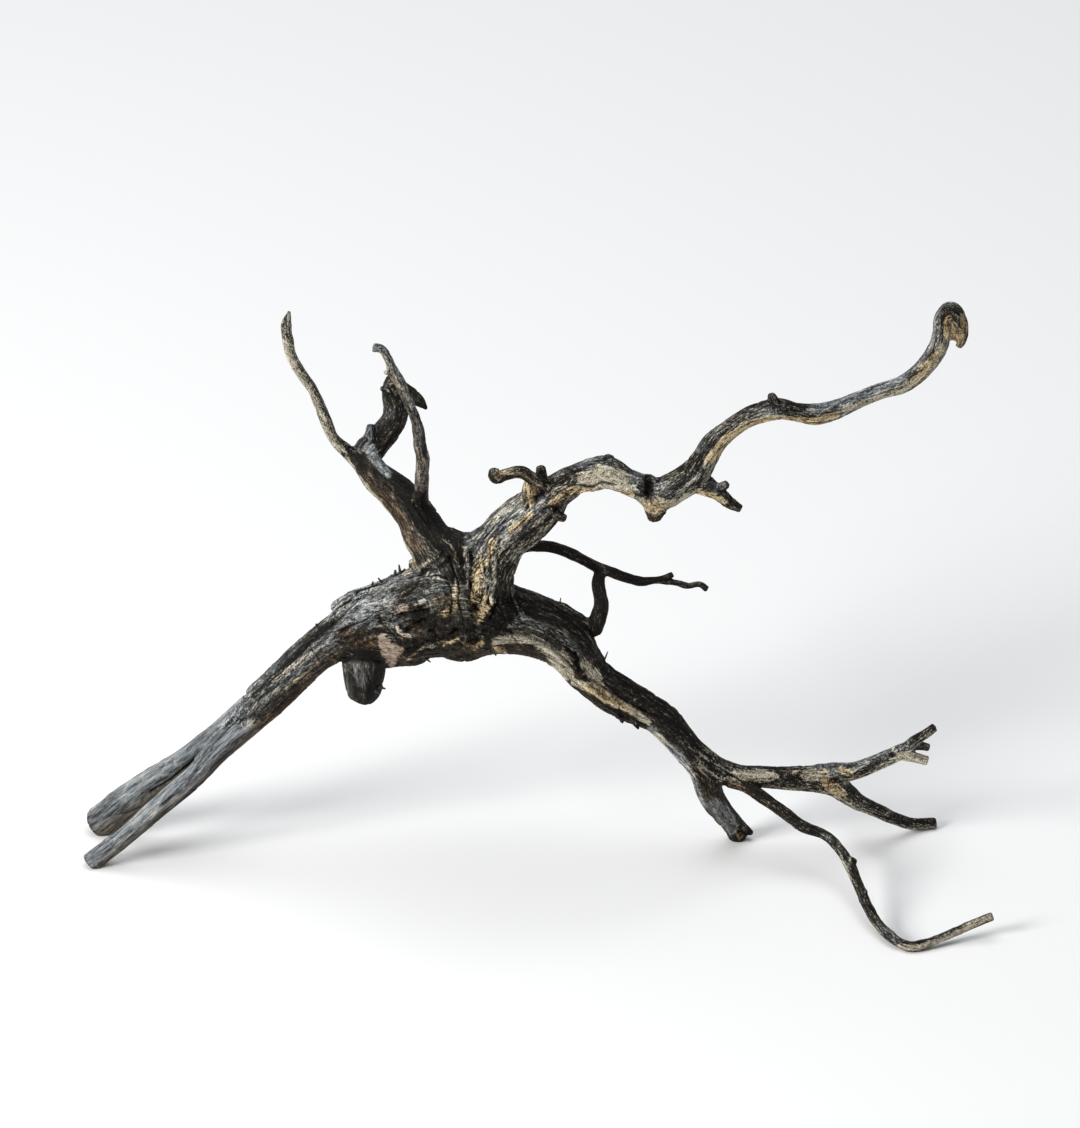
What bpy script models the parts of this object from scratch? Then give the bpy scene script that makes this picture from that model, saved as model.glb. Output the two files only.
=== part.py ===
"""A black driftwood root, grown as one piece of wood and standing on the tips of its limbs.

Metres, +Z up, the ground at z = 0, the middle of the root's footprint at the origin.

The limbs are drafted as they look from the front and DRAFT_TILT above. A station is one cut
through a limb, in millimetres: how far to the right, how far up the sheet, how far behind the
sheet's ground line, and the half width of the wood there.
"""

import math

import bmesh
import bpy
from mathutils import Vector

MM = 0.001
DRAFT_TILT = math.radians(30)

# The middle of the footprint on the sheet, which becomes the origin
MIDDLE_RIGHT = -1.25
MIDDLE_BACK = -7.1

# How finely the limbs are rounded, fused and faceted
STEPS_ALONG = 6
STEPS_ROUND = 4
FUSE_GRAIN = 0.8 * MM
SOFTENING = 0.5
SOFTENING_PASSES = 2
SHARE_OF_FACETS_KEPT = 0.021
GROUND_BLOCK = 0.8

# The finish, as seen over the whole root
WOOD_COLOUR = (0.045, 0.042, 0.038, 1)
WOOD_ROUGHNESS = 0.75

LIMBS = {
    # From the fork of the legs, up through the hub and down to the cut stub on the right
    "trunk": [
        (-153, 68.3, 10, 6.5),
        (-147, 73.3, 9.8, 8.2),
        (-137.5, 83.2, 9, 10.4),
        (-125, 94.5, 8, 10.4),
        (-112.5, 107, 7, 10.6),
        (-99.6, 115.4, 6, 11.8),
        (-85, 121.5, 5, 17.5),
        (-70, 124, 5, 22),
        (-55, 127.5, 5, 23.5),
        (-40, 129, 5, 24.5),
        (-25, 125.5, 5, 20),
        (-14, 123, 6, 16.5),
        (0, 119, 7, 15.2),
        (13.5, 110.8, 8, 14.2),
        (19.6, 102.5, 9, 11.6),
        (25.8, 95.2, 9.5, 10.5),
        (39, 85, 10, 10.2),
        (49.2, 79.5, 10.5, 9.7),
        (60, 73.6, 11, 8.9),
        (68.1, 65.1, 11.5, 7.9),
        (75.5, 57, 12, 7.8),
        (82, 49.5, 12, 8.2),
        (83.5, 45.5, 12, 7.5),
        (86, 35.5, 15, 6.6),
        (92.3, 25.7, 19.5, 5.8),
        (97.6, 19, 23, 5.5),
        (100.2, 13.3, 26, 4.9),
    ],
    # The lumpy underside of the hub
    "hub_underside": [
        (-79.5, 107.2, 2, 8.3),
        (-74, 107.2, 2, 8.4),
        (-68, 107.6, 1, 8.2),
        (-63, 107.2, 0, 7.6),
        (-55, 112.3, 0, 7),
        (-39.5, 110.5, 0, 8.2),
        (-27, 114, 1, 8.2),
        (-14, 115, 3, 8.6),
    ],
    # Wood filling the fork between the two arms
    "crotch_web": [
        (-55, 166.5, 16.5, 8),
        (-47.5, 162.5, 12, 8),
        (-40.5, 159.6, 8.5, 8),
        (-32.5, 159.5, 5, 8),
        (-25.5, 163.5, 3, 7.8),
    ],
    # The thicker of the two fused legs, cut across at its foot
    "back_leg": [
        (-137, 85, 11, 8),
        (-148, 76, 13, 7.5),
        (-162.5, 63.8, 16, 6.8),
        (-177.5, 52.5, 20, 6.8),
        (-195, 41, 24, 7.6),
        (-210, 30, 28, 8.4),
        (-218.5, 23.3, 32, 8.4),
        (-223.3, 20.2, 34.3, 7.9),
    ],
    # The thinner leg in front
    "front_leg": [
        (-137, 80, 8, 7.4),
        (-148, 70, 8, 7.3),
        (-161, 58.7, 6, 6.6),
        (-175.5, 43, 4, 5.8),
        (-194, 27, 1, 5.3),
        (-205.5, 17, -0.5, 4.9),
        (-226.8, 0.2, -1.5, 5.3),
    ],
    # A slab of bark on the left shoulder
    "shoulder_slab": [
        (-101, 125.6, 9, 7),
        (-92, 130, 8, 8),
        (-82, 132, 7, 9),
    ],
    # The rounded stub below the hub, which hangs clear of the ground
    "knob": [
        (-85, 112, 3, 12),
        (-87.5, 105, 2, 11.5),
        (-88.3, 95.5, 0, 10.2),
        (-88.8, 88, -1, 8.9),
        (-90.2, 83.9, -1, 6.6),
    ],
    # The dark arm up to the left and back
    "left_arm": [
        (-40, 132, 6, 20),
        (-42.7, 147, 9, 15.4),
        (-49, 155.5, 13, 13.4),
        (-55.4, 163.4, 17, 11.3),
        (-63.3, 177.3, 25, 9.4),
        (-71.8, 186.2, 32, 8.9),
        (-81.1, 194, 39, 8),
        (-88, 201.5, 44, 6.2),
        (-96.5, 207, 48, 3.6),
    ],
    # Its long thin end, which runs to a point
    "left_twig": [
        (-95, 206, 48, 3.5),
        (-102.5, 213, 48, 2.8),
        (-107.3, 223.2, 46, 3),
        (-111.3, 233.2, 43.5, 2.9),
        (-113.6, 238.2, 42, 3),
        (-117, 243, 40.5, 3.1),
        (-121, 249, 38, 3.1),
        (-124.2, 255, 36.5, 3),
        (-125.9, 263, 35, 3.2),
        (-126.6, 270, 34, 2.9),
        (-125, 277, 33, 1),
    ],
    # The twig in front of the curled stub, with a bent tip
    "front_twig": [
        (-60, 179, 26, 4.3),
        (-59.3, 188, 17, 3.6),
        (-59, 195.5, 13, 3.5),
        (-58.5, 203.5, 10, 3.5),
        (-60, 210.5, 7, 3.3),
        (-60.5, 216.5, 6, 3.1),
        (-62, 222.5, 4, 2.6),
        (-64, 228.5, 2, 2.5),
        (-67.2, 235, 1, 2.6),
        (-69.3, 241, 0, 2.9),
        (-73, 247, -1, 3.1),
        (-75.5, 253, -2, 2.2),
        (-79, 258, -2.5, 2.3),
        (-83, 258.6, -3, 2.5),
    ],
    # The thick curled stub behind it
    "curled_stub": [
        (-86, 206, 50, 7),
        (-81.5, 212, 55, 7),
        (-76, 218, 59, 6.8),
        (-72.5, 224, 62, 6.3),
        (-72, 230, 65, 6.2),
        (-73.5, 235.5, 67, 5.5),
        (-73.8, 241, 69, 4.7),
        (-72.3, 246.5, 70, 3),
    ],
    "curled_stub_lobe": [
        (-91, 206.5, 47, 3.4),
        (-88.5, 210.5, 49, 3.6),
        (-85.5, 213, 51, 3.6),
        (-84.8, 220.8, 53, 2.2),
    ],
    "curled_stub_spike": [
        (-71, 239.5, 66, 4.4),
        (-65, 235.5, 66, 4.5),
        (-60.5, 232.5, 65, 3.2),
        (-56.5, 228.5, 64, 1),
    ],
    # The long arm up to the right, ending in a hooked tip
    "right_arm": [
        (-30.5, 136, 6, 17.7),
        (-26, 151, 4, 13.6),
        (-17.6, 165.2, 1, 12.2),
        (-9, 173, -2, 12.4),
        (-1.5, 179, -5, 11.3),
        (10, 188.5, -9, 8.4),
        (18.5, 193.5, -12, 7.5),
        (26, 195.5, -15, 8.5),
        (33, 196.8, -17, 8.4),
        (43.5, 192.2, -20, 6.5),
        (50.5, 189.5, -21, 6.7),
        (58.5, 186, -22, 8.4),
        (67.3, 189.4, -22, 7.8),
        (76.2, 195.5, -21, 7.6),
        (81.8, 203.6, -20, 6.3),
        (85.8, 210.4, -19, 5.9),
        (93.7, 217.5, -17, 5.2),
        (102, 223, -15, 5.1),
        (111, 226.5, -13, 5.4),
        (120, 227.8, -11, 5.4),
        (127, 226.6, -9, 4.8),
        (136.5, 225.5, -7, 6),
        (146.5, 227.6, -4, 5.1),
        (159, 233, -1, 4.3),
        (169, 237, 1, 4.3),
        (180.5, 240.5, 3, 4.5),
        (190.3, 247.8, 5, 4.7),
        (197.2, 257.2, 7, 4.8),
        (200, 265.6, 8, 4.8),
        (201.5, 273.2, 8.5, 5.4),
        (204.6, 276.7, 8.5, 4.9),
        (208.5, 272.8, 8, 3.9),
        (210.5, 267.5, 8, 2.9),
        (210, 262.3, 8, 2.3),
        (208.2, 259, 8, 1.8),
    ],
    # Wood inside the hook of that tip
    "right_arm_tip_core": [
        (203, 267, 9.5, 3),
        (205.5, 270.5, 9.5, 5.2),
        (206.3, 264.5, 9.5, 2.9),
        (206.5, 262.8, 9.5, 2.4),
    ],
    # A ridge along the back of that arm
    "right_arm_flange": [
        (-6.5, 163, 6, 5),
        (1.8, 170.6, 2, 4.3),
        (7.6, 177.6, -2, 4),
        (12.6, 186, -8, 3.2),
    ],
    # The short twig that points back to the left
    "broken_twig": [
        (1.5, 190.5, -12, 3.4),
        (-3, 193, -16, 3.4),
        (-10, 196.8, -19, 3.3),
        (-17.5, 195.4, -21, 3),
        (-21.7, 194.3, -22, 3.6),
        (-23.6, 197.8, -22, 2.6),
    ],
    "broken_twig_post": [
        (-4, 182, -9, 4),
        (-5.5, 187, -14, 4.1),
        (-4.5, 192.6, -16, 3.2),
    ],
    "short_stub": [
        (0.5, 190, -9, 4),
        (0.5, 196, -10, 3),
        (0.5, 199.7, -10, 2.4),
    ],
    "under_nub": [
        (4, 180, -13, 3),
        (8, 176, -18, 2.3),
        (11.2, 174.2, -19, 2.2),
        (12.8, 173.6, -19, 1.8),
    ],
    # A stub broken off towards the front
    "ring_stub": [
        (53.5, 190.5, -20, 6.2),
        (53.8, 189, -29, 5.4),
    ],
    "bulb_nub": [
        (57.5, 180, -22, 6),
        (57, 173.3, -22, 3.2),
    ],
    "top_bump": [
        (33.5, 200, -17, 5),
        (34.8, 205, -17, 2),
    ],
    "thorn_bump": [
        (117, 229, -12, 4),
        (114.8, 235.5, -12, 1.9),
    ],
    # The spur below the bend of the long arm
    "side_spur": [
        (79, 192, -21, 6),
        (84, 189, -22, 4.8),
        (88.8, 186.1, -23, 3.8),
        (95.3, 181, -25, 3.1),
        (100.3, 178.2, -26, 2.2),
    ],
    "side_spur_tip": [
        (88, 187.5, -23, 3),
        (93.3, 191, -24, 1.9),
    ],
    # The thin twig behind, out to the right
    "thin_twig": [
        (-18, 156.5, 10, 5),
        (-6.5, 160, 18, 3.1),
        (0, 160, 20, 2.9),
        (7.5, 159, 21, 2.9),
        (15, 156.3, 22, 2.8),
        (22.5, 152.6, 23, 2.8),
        (28.5, 149.5, 24, 2.8),
        (35, 147.2, 25, 2.6),
        (42.5, 144.4, 26, 2.7),
        (50, 142.4, 27, 2.7),
        (57.5, 143, 28, 2),
        (62.5, 144, 28.5, 1.7),
        (66.8, 145.9, 29, 1.7),
    ],
    "fine_twig": [
        (58, 142.8, 28, 1.9),
        (68.5, 141.6, 29, 1.5),
        (74.8, 140, 30, 1.6),
        (80, 140.8, 31, 1.5),
        (83.8, 138.3, 31.5, 1.6),
    ],
    # The twig that joins it to the limb below
    "loop_twig": [
        (30.5, 148, 24, 3),
        (29.1, 141.5, 22, 3.3),
        (30.2, 135, 19, 3.5),
        (30.8, 130, 17, 3.9),
        (29.2, 124, 14, 4.6),
        (27.8, 117.5, 11, 4.2),
        (28, 115, 10, 3),
    ],
    # A ridge along the back of the lower limb
    "limb_ridge": [
        (-18, 132, 12, 7),
        (-2, 129.5, 14, 6),
        (8.5, 126.5, 15, 5.5),
        (15.5, 123.5, 15, 5),
        (25, 118, 13, 4.6),
    ],
    # The branch along the ground to the right, and its lower prong
    "foot_branch": [
        (80, 52, 12, 8),
        (91, 46.5, 12, 6.5),
        (100, 44.6, 12.5, 5.7),
        (112.5, 44.1, 13, 5.7),
        (120, 43.4, 13.3, 5.7),
        (130, 42.9, 13.7, 6.4),
        (140, 42.2, 14, 6.9),
        (147, 40.6, 14.5, 6.6),
        (154.3, 35.2, 16, 5.3),
        (159.7, 31.2, 18, 4.4),
        (164.9, 28.8, 20, 4),
        (170.2, 26.5, 22.5, 3.8),
        (180, 22.2, 27, 3.4),
        (187.5, 19.9, 31, 3.2),
        (194, 19.8, 34.5, 3.1),
        (200, 19.7, 36, 3.2),
    ],
    "upper_prong_root": [
        (140, 44, 14, 6),
        (150, 46.3, 14, 4.8),
    ],
    # The raised prong, with three tips
    "upper_prong": [
        (147, 45.5, 14, 5.4),
        (157.5, 46.6, 13.5, 4.6),
        (165, 49.2, 13, 4.4),
        (172.7, 52.3, 12, 4.2),
        (180.3, 55.8, 11, 4.2),
        (184.9, 59, 11, 3.2),
        (189, 62.7, 10, 2.7),
        (194.2, 65.8, 9, 2.5),
        (198.3, 68.9, 8, 2.4),
    ],
    "upper_prong_middle_tip": [
        (184, 59.5, 11, 2.5),
        (190, 59.8, 12, 2.4),
        (195.9, 58.6, 13, 2),
    ],
    "upper_prong_lower_tip": [
        (179, 55.6, 10, 3),
        (185, 54.4, 8, 3),
        (190, 53.3, 7, 2.9),
        (195.4, 51.9, 6, 2.7),
    ],
    # The twig that trails forward along the ground, then lifts
    "trailing_twig": [
        (96, 43, 10, 5),
        (103.2, 39.6, 8, 3.5),
        (112.8, 33, 4, 3),
        (123.2, 25.7, -1, 3.1),
        (133.6, 18.4, -7, 3),
        (143, 14.8, -10, 2.6),
        (150.2, 8, -17.5, 2.7),
        (155.4, -0.2, -28.5, 2.8),
        (160.2, -11, -43.5, 2.8),
        (164, -20, -56.5, 2.6),
        (168.6, -28.3, -67.5, 2.6),
        (176, -35.7, -78.5, 2.6),
        (182.5, -39.7, -84, 2.7),
        (187, -40.5, -85, 2.7),
        (192.5, -39.3, -83.5, 2.6),
        (199, -37, -81, 2.3),
        (205, -34.5, -77.5, 2.4),
        (212, -31.3, -75, 2.4),
        (219, -28.5, -72.5, 2.4),
        (227, -25.3, -71, 2.4),
    ],
    # The splinter at the foot of the cut stub
    "cut_stub_tip": [
        (100, 20, 24, 3.5),
        (104.2, 16.6, 24, 2.4),
        (107.3, 15, 24, 1.3),
    ],
}


def on_sheet(right, up, back):
    """The place of a point of the draft, in metres."""
    height = (up - back * math.sin(DRAFT_TILT)) / math.cos(DRAFT_TILT)
    return Vector((right - MIDDLE_RIGHT, back - MIDDLE_BACK, height)) * MM


def clear_scene():
    for thing in list(bpy.data.objects):
        bpy.data.objects.remove(thing, do_unlink=True)


def black_wood():
    """Dark charcoal wood, matt with a slight silvery sheen."""
    material = bpy.data.materials.new("black_wood")
    material.use_nodes = True
    finish = material.node_tree.nodes["Principled BSDF"]
    finish.inputs["Base Color"].default_value = WOOD_COLOUR
    finish.inputs["Roughness"].default_value = WOOD_ROUGHNESS
    finish.inputs["Metallic"].default_value = 0.0
    return material


def add_limb(curve, stations):
    """A smooth round limb through its stations, capped at both ends."""
    spline = curve.splines.new("BEZIER")
    spline.bezier_points.add(len(stations) - 1)
    spline.resolution_u = STEPS_ALONG
    for point, (right, up, back, half_width) in zip(spline.bezier_points, stations):
        point.co = on_sheet(right, up, back)
        point.radius = half_width
        point.handle_left_type = "AUTO"
        point.handle_right_type = "AUTO"


def limbs_mesh():
    """All limbs as overlapping tubes in one mesh."""
    curve = bpy.data.curves.new("limbs", "CURVE")
    curve.dimensions = "3D"
    curve.twist_mode = "MINIMUM"
    curve.bevel_depth = MM
    curve.bevel_resolution = STEPS_ROUND
    curve.use_fill_caps = True
    for stations in LIMBS.values():
        add_limb(curve, stations)
    drawn = bpy.data.objects.new("limbs", curve)
    bpy.context.scene.collection.objects.link(drawn)
    mesh = bpy.data.meshes.new_from_object(drawn)
    bpy.data.objects.remove(drawn, do_unlink=True)
    return mesh


def ground():
    """A block below the ground, which trims the feet flat where they stand."""
    mesh = bpy.data.meshes.new("ground")
    block = bmesh.new()
    bmesh.ops.create_cube(block, size=GROUND_BLOCK)
    bmesh.ops.translate(block, verts=block.verts, vec=(0, 0, -GROUND_BLOCK / 2))
    block.to_mesh(mesh)
    block.free()
    cutter = bpy.data.objects.new("ground", mesh)
    bpy.context.scene.collection.objects.link(cutter)
    cutter.hide_render = True
    cutter.display_type = "WIRE"
    return cutter


def driftwood_root():
    """The tubes fused to one skin, softened, thinned to few facets, and trimmed at the ground."""
    root = bpy.data.objects.new("driftwood_root", limbs_mesh())
    bpy.context.scene.collection.objects.link(root)
    root.data.materials.clear()
    root.data.materials.append(black_wood())

    fuse = root.modifiers.new("fuse", "REMESH")
    fuse.mode = "VOXEL"
    fuse.voxel_size = FUSE_GRAIN
    fuse.use_smooth_shade = True

    soften = root.modifiers.new("soften", "SMOOTH")
    soften.factor = SOFTENING
    soften.iterations = SOFTENING_PASSES

    thin = root.modifiers.new("thin", "DECIMATE")
    thin.decimate_type = "COLLAPSE"
    thin.ratio = SHARE_OF_FACETS_KEPT

    trim = root.modifiers.new("trim", "BOOLEAN")
    trim.operation = "DIFFERENCE"
    trim.solver = "EXACT"
    trim.object = ground()


clear_scene()
driftwood_root()
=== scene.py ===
"""The looks of a black driftwood root: dark, weathered wood that stands on its limb tips.

The limbs repeat the drafting of the solid root. Millimetres in the arrays, metres in Blender.
A sheet place is (right, up): how far right and up a spot lies as the root looks from the front
and DRAFT_TILT above.
"""

import itertools
import math

import bmesh
import bpy
import numpy as np
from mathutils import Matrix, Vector, bvhtree, kdtree


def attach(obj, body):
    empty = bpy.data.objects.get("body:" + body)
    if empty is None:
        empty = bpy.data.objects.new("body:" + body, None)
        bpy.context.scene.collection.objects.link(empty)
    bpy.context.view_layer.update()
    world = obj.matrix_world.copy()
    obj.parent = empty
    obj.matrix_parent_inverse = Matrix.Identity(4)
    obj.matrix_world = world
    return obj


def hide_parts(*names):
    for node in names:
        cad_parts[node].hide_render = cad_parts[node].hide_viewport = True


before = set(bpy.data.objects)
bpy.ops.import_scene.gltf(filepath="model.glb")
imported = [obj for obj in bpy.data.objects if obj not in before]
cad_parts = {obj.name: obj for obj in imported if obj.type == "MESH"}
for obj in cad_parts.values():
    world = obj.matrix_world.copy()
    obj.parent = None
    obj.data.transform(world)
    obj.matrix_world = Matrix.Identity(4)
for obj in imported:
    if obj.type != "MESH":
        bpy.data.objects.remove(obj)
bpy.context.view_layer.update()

MM = 0.001

# The draft: how far above level it looks, and what place of it lies in the frame's middle
DRAFT_TILT = math.radians(30)
MIDDLE_RIGHT = -1.25
MIDDLE_BACK = -7.1

# The way to the viewer, and the ways that run right and up on the sheet
TOWARDS_VIEWER = np.array((0, -math.cos(DRAFT_TILT), math.sin(DRAFT_TILT)))
SHEET_AXES = np.array(((1, 0, 0), (0, math.sin(DRAFT_TILT), math.cos(DRAFT_TILT))))

# The camera sees the sheet straight on, from far away
SHEET_HEIGHT = 564 * MM
SHEET_CENTRE = (0, 151, 0)
CAMERA_DISTANCE = 11
SENSOR = 36

# How finely the wood is rounded, fused, smoothed and kept, and how many points are measured at once
STEPS_ALONG = 10
STEPS_ROUND = 7
FUSE_GRAIN = 0.6 * MM
FUSE_SMOOTHING = 3
MOST_TRIANGLES = 196000
CHUNK = 20000

# How far the grain is followed at a time, in millimetres, and how far a growth may step back
GRAIN_STEP = 1.0
LONGEST_STEP = 6 * MM

# All chance comes from the seed, and the bumps from a hash with these primes
SEED = 7
HASH_PRIMES = np.array((73856093, 19349663, 83492791))
HASH_SEED_PRIME = 961748927
HASH_MIX_PRIME = 1274126177

# The side that the lamps light most, which is painted lighter and more blue-grey as painted light
PAINTED_LIT_SIDE = np.array((-0.70, -0.35, 0.62))

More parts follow.
